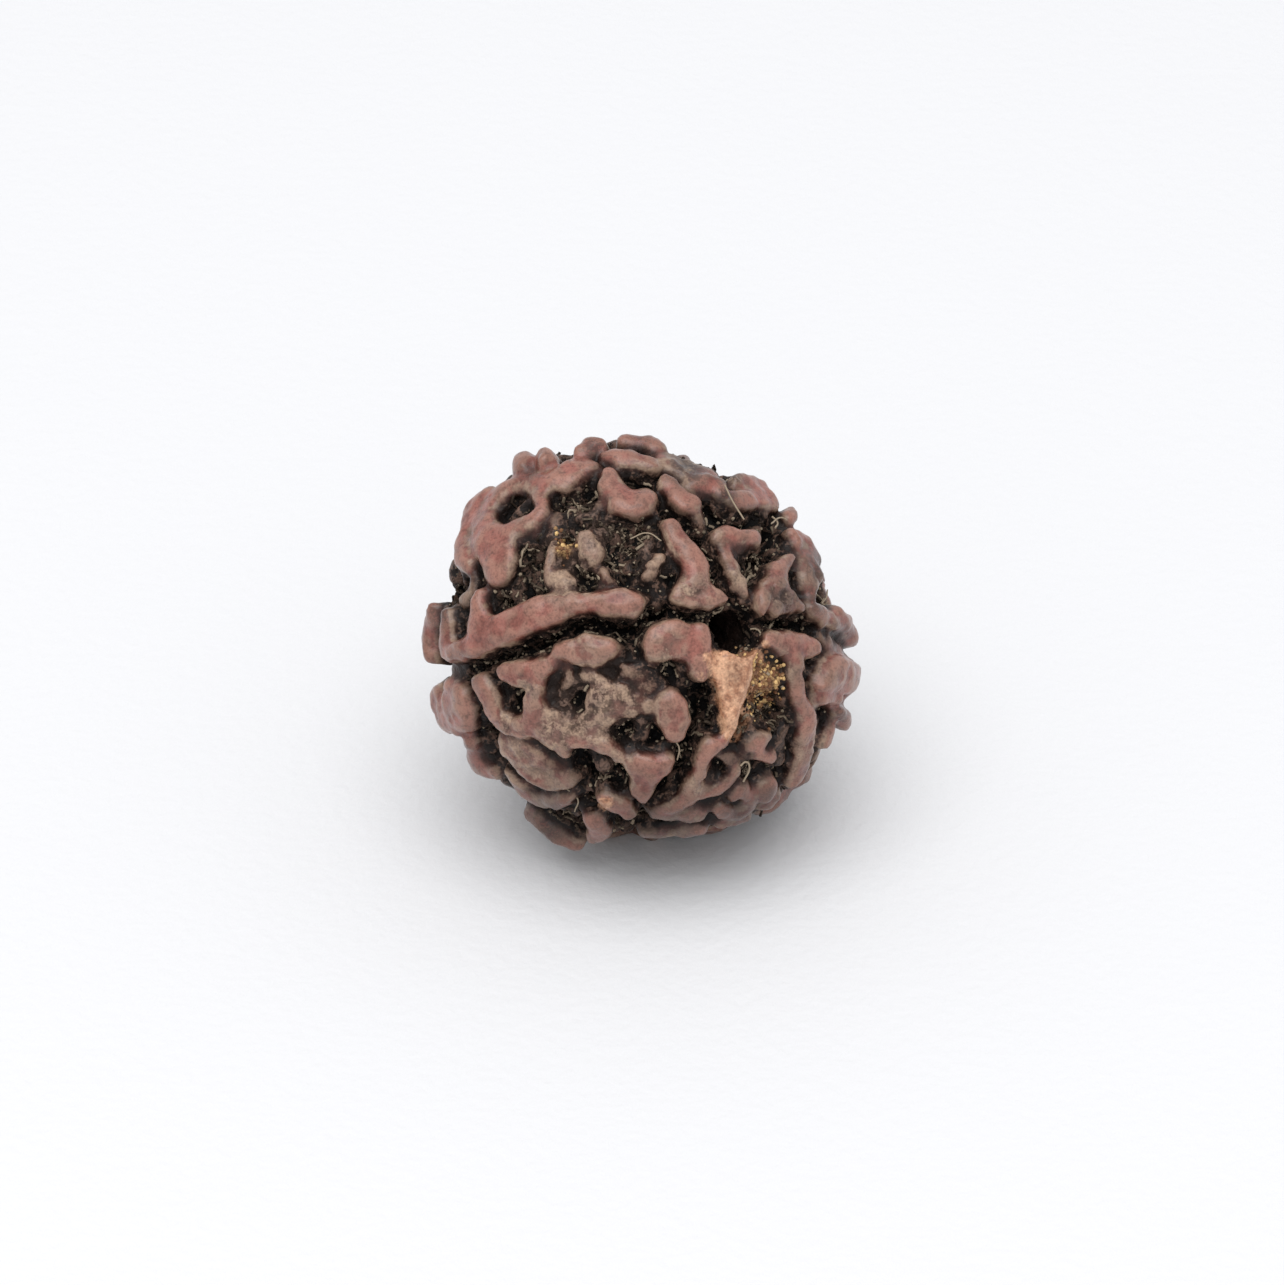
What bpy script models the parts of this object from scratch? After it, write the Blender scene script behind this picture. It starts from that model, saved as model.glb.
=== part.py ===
"""Rudraksha seed: the stone of an Elaeocarpus fruit, one woody solid lying on its side.

The stone is an ovoid with a bore along its polar axis. Clefts run from one mouth of the bore
to the other and part its five faces, and each face carries a raised net of gnarled ridges.
The surface is worked out as offsets from the ovoid: crests that follow lines, steep walls that
tuck in under them, a rough floor with low humps, and grooves along the clefts.
Lengths are in millimetres until the mesh is made, which is in metres.
"""

import math

import bmesh
import bpy
import numpy as np
from mathutils import Matrix, Vector, noise

# Driving dimensions, mm
LONG_RADIUS = 11.35
SHORT_RADIUS = 10.25
POLAR_RADIUS = 9.8
NET_DEPTH = 1.8
CLEFT_DEPTH = 0.9
BORE_RADIUS = 1.0
MOUTH_RADIUS = 1.3
MOUTH_LEVEL = 9.2
NECK_LEVEL = 6.5
REST_LEVEL = 10.1

# The stone is described as it is seen from its front: x right, y up, z towards the eye
FRONT_ELEVATION = math.radians(35)
POLE = Vector((5.1, 0.6, 8.35)).normalized()
LONG_AXIS_ANGLE = math.radians(140)

# Where the ovoid bulges or is flat, seen from the front: bearing and reach in degrees, mm
BULGES = ((48, 9, 0.4), (73, 12, -0.6), (162, 7, -1.15), (200, 12, 0.5), (219, 8, 0.45), (250, 10, 0.4),
          (277, 14, -0.95), (290, 8, -0.4), (305, 10, -0.3))

# How a ridge's section is shaped, mm: the tuck is a share of the way out, the most undercut of the width
RIDGE_SPREAD = -0.03
EDGE_ROUND = 0.62
EDGE_DROP = 0.38
WALL_REACH = 0.5
WALL_TUCK = 0.2
SKIRT_REACH = 0.8
UNDERCUT = 0.05
MOST_UNDERCUT = 0.4
LEAST_DROP = 0.05
HUMP_REACH = 0.3
GROOVE_REACH = 0.45
BLEND = 0.14
STROKE_STEP = 0.45

# The clefts behind the front: angle between their points, and how far, how often and from where they sway
CLEFT_STEP = 0.16
CLEFT_SWAY = 0.05
CLEFT_TURNS = 7
CLEFT_PHASE = 3

# The net where the front table ends: the draw it comes from, how many places it picks from, the most
# ridges that meet at a place and the share of a lone ridge's length; the rest in mm
HIDDEN_DRAW = 11
HIDDEN_CHOICE = 3000
HIDDEN_FROM = 3.5
HIDDEN_SPACING = 1.95
HIDDEN_JOIN = 3.3
HIDDEN_MOST = 3
HIDDEN_RIM = -5.0
HIDDEN_RIM_REACH = 3.5
HIDDEN_RIM_DROP = 0.75
HIDDEN_SWAY = 0.35
HIDDEN_WIDTHS = (0.36, 0.78)
HIDDEN_WAISTS = (0.3, 0.5)
HIDDEN_TOPS = (-0.15, 0.2)
LONE_HALF = 0.3
RIDGE_CLEAR = 1.0
CLEFT_CLEAR = 0.85

# How neighbouring places are joined: clear of the clefts, with room between joins, not always
JOIN_CLEFT_CLEAR = 0.75
JOIN_ROOM = 0.45
JOIN_CHANCE = 0.8

# Where the floor between the ridges is filled up: (x, y, reach, rise), and the holes left in the
# filling: (x, y, radius). Behind the front it is filled in patches.
FLOOR_FILLS = (
    (-2.6, -3.2, 2.4, 1.3), (-5.2, -2.9, 1.2, 1.1), (-6.0, -6.1, 1.2, 0.9), (-0.4, -2.3, 1.2, 0.9),
    (-3.3, 3.4, 1.5, 1.4), (-3.1, 5.4, 1.1, 0.9), (-2.4, 6.9, 0.9, 0.9), (-4.5, 4.3, 0.7, 0.9),
    (-0.9, 2.9, 0.8, 0.8), (0.5, 3.8, 0.8, 0.9), (7.9, 3.0, 0.9, 0.9), (6.0, -2.1, 1.2, 1.3),
    (-2.4, 2.7, 0.8, 1.2), (8.8, 2.0, 0.7, 0.7), (5.2, 4.2, 0.6, 0.8), (-8.6, -4.9, 0.7, 0.5),
    (2.4, -6.9, 0.6, 0.6),
    (4.6, 8.0, 0.7, 0.8), (1.0, 7.9, 0.6, 0.6), (6.5, 6.3, 0.7, 0.7), (7.1, -5.6, 0.7, 0.6),
    (2.0, 9.0, 1.4, 1.2), (4.3, 8.2, 0.9, 1.1), (-5.6, 3.6, 0.8, 0.9), (-1.8, -7.4, 0.7, 0.6),
)
FLOOR_HOLES = (
    (-6.5, -2.9, 0.55), (-3.4, -3.3, 0.5), (-4.6, -2.3, 0.35), (-0.9, -4.8, 0.4), (0.3, -4.9, 0.5),
    (0.0, -1.3, 0.35), (-1.9, 4.4, 0.5), (-6.2, 7.0, 0.6), (-5.8, 4.7, 0.5), (-6.6, 2.3, 0.6),
    (-2.8, 7.8, 0.5), (-1.0, 5.3, 0.6), (-3.1, -5.5, 0.3), (-4.1, -3.3, 0.25), (-2.7, -2.0, 0.25),
)
FILL_EDGE = 0.35
HIDDEN_RISE = 0.9

# The low humps between all ridges, as above; their waist is a share of their width
HUMP_DRAW = 5
HUMP_CHOICE = 6000
HUMP_SPACING = 1.3
HUMP_JOIN = 2.0
HUMP_MOST = 2
HUMP_SWAY = 0.25
HUMP_WAIST = 0.8
HUMP_WIDTHS = (0.12, 0.36)
HUMP_TOPS = (-1.1, -0.4)
HUMP_CLEFT_CLEAR = 0.5

# Unevenness, as waves of a size and a height, mm
BENDS = ((1.5, 0.16), (0.5, 0.05))
EDGE_WAVES = ((1.1, 0.13), (0.5, 0.08))
CREST_WAVES = ((2.2, 0.16), (0.8, 0.09))
FLOOR_WAVES = ((1.7, 0.4), (0.6, 0.2))
HUMP_WAVES = ((1.2, 0.2),)
SKIN_WAVES = ((0.7, 0.07),)
FILL_WAVES = ((2.6, 2.0),)
NOISE_STEP = Vector((7.31, 3.17, 5.73))
NOISE_DRAW = 3

# How finely the solid is made, and how large the tools are that cut it, mm
MESH_STEPS = 7
VOXEL = 0.2
NODE_TRIANGLES = 11500
CUTTER_REACH = 14
CUTTER_SIDES = 28
MM = 0.001

WOOD_COLOUR = (0.27, 0.125, 0.095, 1.0)
WOOD_ROUGHNESS = 0.5

# Each ridge: how far its crest stands above the ovoid, then (x, y, half width) along it
UPPER_LEFT_FACE = (
    (0.10, ((-8.15, 2.5, 0.34), (-8.2, 1.4, 0.5), (-8.0, 0.4, 0.8), (-6.8, 0.75, 0.68),
            (-5.4, 1.4, 0.68), (-4.0, 1.75, 0.55), (-2.6, 2.05, 0.45), (-1.2, 2.0, 0.6),
            (-0.3, 1.85, 0.55))),
    (0.15, ((-9.8, 1.4, 0.42), (-9.85, 0.3, 0.48), (-9.8, -0.5, 0.45), (-9.0, -0.35, 0.42),
            (-8.2, -0.1, 0.5))),
    (0.35, ((-10.4, 1.6, 0.42), (-10.6, 0.7, 0.5), (-10.6, -0.5, 0.5))),
    (0.0, ((-7.2, 3.6, 0.82), (-7.5, 4.7, 0.92), (-8.1, 5.7, 0.92), (-8.0, 6.7, 0.68),
           (-7.1, 7.6, 0.58), (-6.1, 8.15, 0.52), (-5.2, 8.1, 0.5), (-4.2, 8.2, 0.7),
           (-3.4, 8.8, 0.7), (-2.6, 8.95, 0.42))),
    (0.0, ((-7.2, 5.3, 0.5), (-6.0, 5.95, 0.42), (-5.1, 6.5, 0.42))),
    (-0.1, ((-5.7, 7.75, 0.26), (-5.25, 7.25, 0.26), (-5.05, 6.8, 0.3))),
    (0.15, ((-7.8, 7.5, 0.5), (-8.4, 6.9, 0.7), (-8.75, 6.2, 0.6))),
    (0.05, ((-8.9, 5.7, 0.55), (-9.1, 4.6, 0.5), (-8.8, 4.0, 0.4))),
    (-0.35, ((-9.3, 2.2, 0.42), (-8.8, 2.6, 0.36), (-8.7, 3.3, 0.36))),
    (0.5, ((-5.85, 8.6, 0.42), (-5.7, 9.1, 0.55))),
    (0.4, ((-4.75, 8.85, 0.4), (-4.65, 9.2, 0.5))),
    (0.3, ((-3.0, 9.5, 0.42), (-2.3, 9.9, 0.48), (-2.0, 9.9, 0.42))),
    (0.1, ((-0.9, 10.2, 0.42), (0.2, 10.1, 0.5), (1.0, 9.8, 0.45))),
    (-0.15, ((1.2, 9.4, 0.65), (2.2, 8.95, 0.85), (3.3, 8.6, 0.7))),
    (0.05, ((-1.9, 9.4, 0.3), (-1.0, 9.3, 0.42), (-0.2, 9.2, 0.5), (0.35, 9.1, 0.56))),
    (0.05, ((-1.7, 8.5, 0.45), (-1.45, 7.8, 0.48), (-0.9, 7.15, 0.8), (-0.2, 7.1, 0.8), (0.2, 7.35, 0.6))),
    (-0.1, ((-2.8, 5.15, 0.66), (-2.6, 4.65, 0.6))),
    (-0.25, ((-4.2, 3.15, 0.46), (-3.75, 2.9, 0.46))),
    (-0.3, ((-2.0, 3.5, 0.32), (-1.75, 3.15, 0.3))),
    (-0.35, ((-4.7, 5.1, 0.26), (-4.65, 4.1, 0.28), (-4.75, 3.0, 0.24))),
    (-0.45, ((-4.1, 4.85, 0.26), (-3.65, 4.7, 0.3))),
    (-0.55, ((-3.4, 6.55, 0.26), (-2.6, 6.8, 0.32), (-1.8, 7.25, 0.32))),
    (0.05, ((1.35, 5.9, 0.46), (1.9, 5.1, 0.55), (2.5, 4.2, 0.62), (2.75, 3.3, 0.6),
            (2.5, 2.6, 0.72), (1.75, 2.25, 0.4))),
    (0.0, ((2.9, 2.4, 0.6), (3.6, 2.2, 0.45), (4.2, 2.15, 0.25))),
    (-0.35, ((0.2, 3.5, 0.42), (0.55, 3.9, 0.48), (0.95, 4.3, 0.34))),
)
TOP_FACE = (
    (0.05, ((1.25, 8.15, 0.36), (1.6, 7.65, 0.38), (2.1, 7.1, 0.42), (2.7, 6.95, 0.42))),
    (0.05, ((2.6, 7.95, 0.5), (3.2, 8.15, 0.6), (3.75, 7.9, 0.46), (4.0, 7.4, 0.3))),
    (0.1, ((4.5, 7.15, 0.28), (5.3, 7.3, 0.5), (6.0, 7.4, 0.72), (6.4, 7.35, 0.72))),
    (0.1, ((4.6, 8.2, 0.3), (5.4, 8.1, 0.4), (6.0, 7.95, 0.42))),
    (0.2, ((7.45, 6.6, 0.32), (7.5, 6.2, 0.32))),
    (0.0, ((3.8, 5.5, 0.38), (4.8, 5.4, 0.34), (5.6, 5.35, 0.46), (5.85, 5.3, 0.42))),
    (-0.2, ((4.1, 5.2, 0.34), (4.35, 4.4, 0.3), (4.75, 3.6, 0.4), (5.05, 3.0, 0.48), (5.2, 2.5, 0.34))),
    (0.1, ((7.5, 5.6, 0.34), (7.75, 5.2, 0.34))),
)
RIGHT_FACE = (
    (0.05, ((7.5, 4.3, 0.32), (6.95, 3.7, 0.4), (6.6, 3.1, 0.42), (6.15, 2.5, 0.34), (5.95, 1.9, 0.3),
            (6.0, 1.4, 0.2))),
    (0.0, ((6.9, 3.2, 0.45), (6.95, 2.4, 0.62), (6.8, 1.8, 0.42))),
    (0.05, ((7.1, 2.6, 0.45), (7.6, 2.15, 0.42), (8.0, 1.75, 0.34))),
    (0.05, ((8.0, 5.4, 0.42), (8.5, 4.8, 0.62), (8.6, 4.0, 0.66), (8.5, 3.2, 0.6), (8.6, 2.4, 0.36))),
    (0.1, ((8.6, 1.75, 0.34), (9.3, 1.3, 0.4), (9.9, 0.95, 0.4))),
    (0.3, ((9.8, 1.6, 0.36), (10.3, 0.8, 0.46), (10.5, 0.1, 0.44))),
    (-0.35, ((9.3, 0.2, 0.35), (9.9, -0.35, 0.5), (10.4, -0.7, 0.5))),
)
LOWER_RIGHT_FACE = (
    (0.05, ((6.4, 0.05, 0.5), (7.1, -0.1, 0.56), (7.9, -0.15, 0.58), (8.7, -0.25, 0.42))),
    (0.05, ((7.7, -0.5, 0.52), (7.8, -1.3, 0.36), (7.8, -2.2, 0.36), (8.1, -3.1, 0.36), (8.45, -4.1, 0.56),
            (8.35, -5.3, 0.6), (8.1, -6.4, 0.66), (7.75, -6.95, 0.5))),
    (-0.65, ((6.4, -0.3, 0.5), (6.8, -1.2, 0.62), (7.0, -2.3, 0.5))),
    (0.45, ((8.9, -2.1, 0.36), (9.7, -1.5, 0.8), (10.4, -1.6, 0.85))),
    (0.2, ((9.0, -2.7, 0.3), (9.8, -2.7, 0.42))),
    (0.35, ((9.8, -3.4, 0.36), (10.1, -3.9, 0.46))),
    (0.1, ((9.6, -4.4, 0.4), (9.2, -5.2, 0.4))),
    (-0.1, ((4.6, -1.2, 1.0), (4.65, -2.0, 0.85), (4.6, -3.0, 0.66), (4.55, -3.8, 0.38),
            (4.45, -4.6, 0.2))),
    (-0.2, ((3.4, -0.8, 0.28), (3.9, -1.0, 0.34), (4.3, -1.2, 0.45))),
    (-0.3, ((6.1, 0.1, 0.22), (5.7, -0.3, 0.24), (5.25, -0.8, 0.34), (4.8, -1.3, 0.5))),
    (0.0, ((4.1, -4.95, 0.42), (3.6, -5.2, 0.44), (3.1, -5.9, 0.34), (2.9, -6.8, 0.38),
           (2.6, -7.6, 0.5), (2.1, -8.1, 0.36), (1.4, -8.4, 0.36))),
    (-0.1, ((3.1, -7.8, 0.26), (3.9, -7.5, 0.24), (4.6, -7.0, 0.22), (4.8, -6.4, 0.18))),
    (-0.4, ((4.0, -5.8, 0.3), (4.8, -6.0, 0.28), (5.6, -5.9, 0.28))),
    (-0.2, ((5.5, -5.3, 0.34), (6.1, -5.0, 0.46), (6.5, -4.85, 0.36))),
    (-0.1, ((5.9, -5.75, 0.3), (6.5, -5.9, 0.42))),
    (0.2, ((6.4, -7.1, 0.55), (6.3, -7.6, 0.55))),
    (0.0, ((3.9, -8.4, 0.34), (4.5, -8.7, 0.36), (5.2, -8.5, 0.36), (5.5, -7.95, 0.34), (5.0, -7.5, 0.26),
           (4.5, -7.9, 0.2))),
    (-0.15, ((0.9, -8.75, 0.5), (1.9, -8.8, 0.6), (2.9, -8.9, 0.5))),
    (-0.1, ((0.3, -9.9, 0.5), (1.3, -9.9, 0.55))),
    (0.0, ((2.2, -9.7, 0.6), (3.0, -9.6, 0.5))),
    (0.0, ((4.1, -9.3, 0.45), (5.2, -8.9, 0.5))),
    (0.0, ((6.1, -8.4, 0.45), (6.7, -7.9, 0.5))),
)
LOWER_LEFT_FACE = (
    (0.05, ((0.8, 0.0, 0.85), (1.7, 0.05, 0.88), (2.5, 0.0, 0.8))),
    (0.05, ((3.0, 0.6, 0.36), (3.05, -0.3, 0.36))),
    (0.05, ((2.7, -0.2, 0.62), (2.9, -0.9, 0.5), (2.9, -1.6, 0.42))),
    (0.1, ((-4.1, -0.45, 0.5), (-3.3, -0.35, 0.6), (-2.4, -0.3, 0.62), (-1.8, -0.3, 0.58))),
    (0.05, ((-6.9, -1.5, 0.5), (-6.1, -1.6, 0.6), (-5.3, -1.4, 0.5), (-4.6, -1.0, 0.34))),
    (0.05, ((-8.3, -2.1, 0.45), (-7.8, -2.6, 0.54), (-7.5, -3.3, 0.54), (-7.05, -4.05, 0.5),
            (-6.3, -4.45, 0.44), (-5.65, -4.0, 0.48), (-5.4, -3.2, 0.52), (-5.35, -2.3, 0.46))),
    (0.25, ((-9.9, -2.8, 0.9), (-9.6, -3.8, 0.9))),
    (0.25, ((-9.5, -2.5, 0.8), (-9.3, -3.9, 0.8))),
    (0.25, ((-9.1, -2.7, 0.75), (-8.9, -3.9, 0.75))),
    (-0.5, ((-9.9, -1.5, 0.4), (-9.2, -1.4, 0.4))),
    (0.1, ((-8.5, -5.0, 0.36), (-8.5, -5.8, 0.42), (-8.2, -6.4, 0.46), (-7.5, -6.6, 0.42))),
    (-0.05, ((-6.0, -4.4, 0.44), (-5.0, -4.6, 0.5), (-4.3, -5.1, 0.48), (-3.8, -5.7, 0.32))),
    (-0.1, ((-5.2, -3.5, 0.44), (-4.4, -4.1, 0.5), (-3.6, -4.5, 0.44), (-2.7, -4.8, 0.56))),
    (-0.05, ((-3.4, -5.2, 0.36), (-2.5, -4.9, 0.4), (-1.7, -5.35, 0.44), (-1.2, -5.8, 0.36),
             (-0.6, -6.0, 0.34))),
    (-0.3, ((-2.9, -3.9, 0.4), (-3.1, -4.5, 0.34), (-2.9, -5.0, 0.3))),
    (-0.25, ((-2.2, -4.2, 0.7), (-2.0, -3.3, 0.9), (-2.0, -2.4, 0.7))),
    (-0.35, ((-3.0, -1.7, 0.3), (-2.2, -1.8, 0.3))),
    (-0.3, ((-1.5, -2.8, 0.7), (-0.6, -3.2, 0.72), (0.1, -3.4, 0.5))),
    (-0.4, ((-3.85, -1.5, 0.26), (-3.95, -2.2, 0.28), (-3.95, -2.8, 0.24))),
    (-0.5, ((-0.8, -1.4, 0.5), (0.0, -1.9, 0.6), (0.8, -2.2, 0.46))),
    (-0.2, ((-6.9, -5.4, 0.8), (-5.9, -6.0, 1.1), (-4.8, -6.7, 0.95), (-3.8, -7.1, 0.6))),
    (0.0, ((-6.9, -5.6, 0.34), (-6.0, -6.5, 0.4), (-5.0, -7.1, 0.36), (-3.9, -7.3, 0.3))),
    (-0.15, ((-6.7, -7.0, 0.6), (-6.0, -7.7, 0.7), (-5.2, -8.1, 0.5), (-4.2, -8.1, 0.4), (-3.5, -7.9, 0.3))),
    (0.2, ((-5.8, -8.7, 0.4), (-5.1, -9.35, 0.46), (-4.2, -9.75, 0.45), (-3.4, -9.95, 0.42))),
    (0.15, ((-2.5, -8.9, 0.46), (-2.2, -9.4, 0.58), (-2.4, -9.8, 0.52))),
    (0.1, ((-2.0, -7.8, 0.4), (-1.4, -8.2, 0.52), (-0.7, -8.6, 0.48))),
    (0.1, ((-0.5, -6.1, 0.44), (0.4, -6.35, 0.7), (1.2, -6.1, 0.44))),
    (0.1, ((0.4, -6.5, 0.66), (0.15, -7.3, 0.52), (0.05, -7.9, 0.34))),
    (0.05, ((1.5, -3.05, 0.68), (1.6, -3.9, 0.76), (1.75, -4.65, 0.42))),
    (-0.8, ((2.0, -1.5, 0.3), (2.4, -2.2, 0.36))),
)
FRONT_RIDGES = UPPER_LEFT_FACE + TOP_FACE + RIGHT_FACE + LOWER_RIGHT_FACE + LOWER_LEFT_FACE

# The floor of each cleft on the front, from the mouth of the bore outwards
FRONT_CLEFTS = (
    ((3.2, 1.5), (1.5, 1.5), (0.3, 1.2), (-1.0, 0.85), (-2.5, 0.9), (-4.0, 0.6), (-5.5, 0.1), (-7.0, -0.5),
     (-8.2, -1.1), (-9.5, -1.5)),
    ((3.4, -1.7), (3.3, -2.8), (3.2, -3.9), (2.6, -5.0), (2.2, -6.2), (1.4, -7.3), (0.6, -8.1),
     (-0.2, -9.0)),
    ((6.0, 0.9), (7.2, 1.0), (8.3, 0.9), (9.3, 0.1), (10.0, -0.4)),
    ((5.8, 3.2), (6.2, 3.9), (6.8, 4.9), (7.0, 5.6), (7.1, 6.4)),
    ((4.6, 2.7), (4.0, 3.5), (3.4, 4.6), (2.7, 5.8), (1.7, 6.8), (0.9, 7.8), (0.9, 8.6)),
)


def front_frame():
    """Columns are the front's right, up and towards-the-eye directions, in the model's axes."""
    rise, run = math.sin(FRONT_ELEVATION), math.cos(FRONT_ELEVATION)
    return Matrix(((1, 0, 0), (0, rise, -run), (0, run, rise)))


def ovoid_form():
    """The matrix whose quadratic form is 1 on the ovoid that the ridge crests follow."""
    pole = np.array(POLE)
    long_axis = np.array((math.cos(LONG_AXIS_ANGLE), math.sin(LONG_AXIS_ANGLE), 0.0))
    long_axis -= pole * (long_axis @ pole)
    long_axis /= np.linalg.norm(long_axis)
    short_axis = np.cross(pole, long_axis)
    sizes = ((long_axis, LONG_RADIUS), (short_axis, SHORT_RADIUS), (pole, POLAR_RADIUS))
    return sum(np.outer(axis, axis) / size**2 for axis, size in sizes)


FORM = ovoid_form()


def on_ovoid(directions):
    """Points of the ovoid in these directions from its centre."""
    size = 1 / np.sqrt(np.einsum("ni,ij,nj->n", directions, FORM, directions))
    return directions * size[:, None]


def wrapped(x, y):
    """The point of the ovoid that shows at (x, y) from the front, or the nearest at its edge."""
    for shrink in np.linspace(1, 0.5, 101):
        px, py = x * shrink, y * shrink
        a = FORM[2, 2]
        b = FORM[0, 2] * px + FORM[1, 2] * py
        c = FORM[0, 0] * px**2 + 2 * FORM[0, 1] * px * py + FORM[1, 1] * py**2 - 1
        if b * b - a * c > 0:
            return np.array((px, py, (-b + math.sqrt(b * b - a * c)) / a))
    raise ValueError("a front point lies far outside the stone")


def flowing(corners, step):
    """Closely spaced rows along a smooth line through these rows of x, y, z, half width."""
    corners = np.array(corners, float)
    first, last = 2 * corners[0] - corners[1], 2 * corners[-1] - corners[-2]
    padded = np.vstack((first, corners, last))
    rows = []
    for a, b, c, d in zip(padded, padded[1:], padded[2:], padded[3:]):
        pieces = max(1, round(np.linalg.norm((c - b)[:3]) / step))
        for t in np.arange(pieces) / pieces:
            curve = 2 * b + (c - a) * t + (2 * a - 5 * b + 4 * c - d) * t**2
            rows.append((curve + (3 * b - a - 3 * c + d) * t**3) / 2)
    rows.append(corners[-1])
    return np.array(rows)


class Strokes:
    """Lines on the ovoid, each with a half width along it and a crest height."""

    CELL = 2.5
    REACH = 4.5

    def __init__(self):
        self.starts, self.ends, self.tops = [], [], []

    def add(self, corners, top=0.0):
        rows = flowing(corners, STROKE_STEP)
        self.starts.extend(rows[:-1])
        self.ends.extend(rows[1:])
        self.tops.extend([top] * (len(rows) - 1))

    def extend(self, other):
        self.starts.extend(other.starts)
        self.ends.extend(other.ends)
        self.tops.extend(other.tops)

    def measure(self, points, blend=BLEND):
        """Columns for each point: distance outside the strokes, top, half width, way out (x, y, z)."""
        starts, ends, tops = np.array(self.starts), np.array(self.ends), np.array(self.tops)
        found = np.empty((len(points), 6))
        cells = np.unique(np.floor(points / self.CELL), axis=0, return_inverse=True)[1].ravel()
        order = np.argsort(cells, kind="stable")
        for rows in np.split(order, np.flatnonzero(np.diff(cells[order])) + 1):
            near = np.linalg.norm(starts[:, :3] - points[rows].mean(0), axis=1)
            use = near < max(self.REACH, near.min() + self.CELL)
            found[rows] = self.blended(points[rows], starts[use], ends[use], tops[use], blend)
        return found

    @staticmethod
    def blended(points, starts, ends, tops, blend):
        """The columns of measure, with strokes that meet run smoothly into each other."""
        along = ends - starts
        away = points[:, None] - starts[:, :3]
        t = np.clip((away * along[:, :3]).sum(2) / (along[:, :3]**2).sum(1), 0, 1)
        away -= t[..., None] * along[:, :3]
        reach = np.sqrt((away**2).sum(2)) + 1e-6
        width = starts[:, 3] + t * along[:, 3]
        outside = reach - width
        nearest = outside.min(1, keepdims=True)
        share = np.exp((nearest - outside) / blend)
        total = share.sum(1, keepdims=True)
        share /= total
        outward = (away / reach[..., None] * share[..., None]).sum(1)
        distance = nearest - blend * np.log(total)
        return np.column_stack((distance, share @ tops, (share * width).sum(1), outward))


def front_strokes():
    """The ridges that the front table lists, wrapped onto the ovoid."""
    ridges = Strokes()
    for top, line in FRONT_RIDGES:
        ridges.add([(*wrapped(x, y), width) for x, y, width in line], top)
    return ridges


def cleft_strokes():
    """The floors of the clefts, from the front table on to the far mouth of the bore."""
    clefts = Strokes()
    pole = np.array(POLE)
    for line in FRONT_CLEFTS:
        corners = [wrapped(x, y) for x, y in line]
        last = corners[-1] / np.linalg.norm(corners[-1])
        side = np.cross(pole, last)
        side /= np.linalg.norm(side)
        out = np.cross(side, pole)
        for angle in np.arange(math.acos(last @ pole) + CLEFT_STEP, math.pi - CLEFT_STEP, CLEFT_STEP):
            sway = CLEFT_SWAY * math.sin(CLEFT_TURNS * angle + CLEFT_PHASE * last[0])
            way = pole * math.cos(angle) + out * math.sin(angle) + side * sway
            corners.append(on_ovoid(way[None])[0])
        clefts.add([(*corner, 0.0) for corner in corners])
    return clefts


def even_points(count):
    """Points spread evenly over the ovoid."""
    k = np.arange(count) + 0.5
    z = 1 - 2 * k / count
    turn = math.pi * (1 + math.sqrt(5)) * k
    ring = np.sqrt(1 - z * z)
    return on_ovoid(np.column_stack((ring * np.cos(turn), ring * np.sin(turn), z)))


def spaced(points, spacing, draw):
    """Some of the points, picked in random order, none nearer than the spacing to another."""
    kept = points[:0]
    for point in points[draw.permutation(len(points))]:
        if not len(kept) or np.linalg.norm(kept - point, axis=1).min() > spacing:
            kept = np.vstack((kept, point))
    return kept


def linked(places, reach, most, clefts, draw):
    """Pairs of neighbouring places, nearest first, that no cleft parts, and how often each is used."""
    gaps = np.linalg.norm(places[:, None] - places, axis=2)
    pairs = np.argwhere(np.triu(gaps < reach, 1))
    pairs = pairs[np.argsort(gaps[tuple(pairs.T)])]
    middles = places[pairs].mean(axis=1)
    pairs = pairs[clefts.measure(middles)[:, 0] > JOIN_CLEFT_CLEAR]
    used = np.zeros(len(places), int)
    taken = places[:0]
    kept = []
    for pair in pairs:
        middle = places[pair].mean(axis=0)
        crowded = len(taken) and np.linalg.norm(taken - middle, axis=1).min() < JOIN_ROOM * reach
        if not crowded and used[pair].max() < most and draw.random() < JOIN_CHANCE:
            used[pair] += 1
            taken = np.vstack((taken, middle))
            kept.append(pair)
    return kept, used


def hidden_strokes(front, clefts):
    """A net of the same kind where the front table leaves the stone bare, lower near the rim."""
    draw = np.random.default_rng(HIDDEN_DRAW)
    places = even_points(HIDDEN_CHOICE)
    bare = front.measure(places)[:, 0] > RIDGE_CLEAR
    bare &= clefts.measure(places)[:, 0] > CLEFT_CLEAR
    bare &= places[:, 2] < HIDDEN_FROM
    places = spaced(places[bare], HIDDEN_SPACING, draw)
    pairs, used = linked(places, HIDDEN_JOIN, HIDDEN_MOST, clefts, draw)
    widths = draw.uniform(*HIDDEN_WIDTHS, len(places))
    drop = HIDDEN_RIM_DROP * smooth((places[:, 2] - HIDDEN_RIM) / HIDDEN_RIM_REACH)
    ridges = Strokes()
    for i, j in pairs:
        middle = (places[i] + places[j]) / 2 + draw.uniform(-HIDDEN_SWAY, HIDDEN_SWAY, 3)
        waist = draw.uniform(*HIDDEN_WAISTS)
        corners = ((*places[i], widths[i]), (*middle, waist), (*places[j], widths[j]))
        ridges.add(corners, draw.uniform(*HIDDEN_TOPS) - drop[i])
    for i in np.flatnonzero(used == 0):
        half = draw.uniform(-HIDDEN_SPACING, HIDDEN_SPACING, 3) * LONE_HALF
        corners = ((*(places[i] - half), widths[i]), (*(places[i] + half), widths[i]))
        ridges.add(corners, draw.uniform(*HIDDEN_TOPS) - drop[i])
    return ridges


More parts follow.
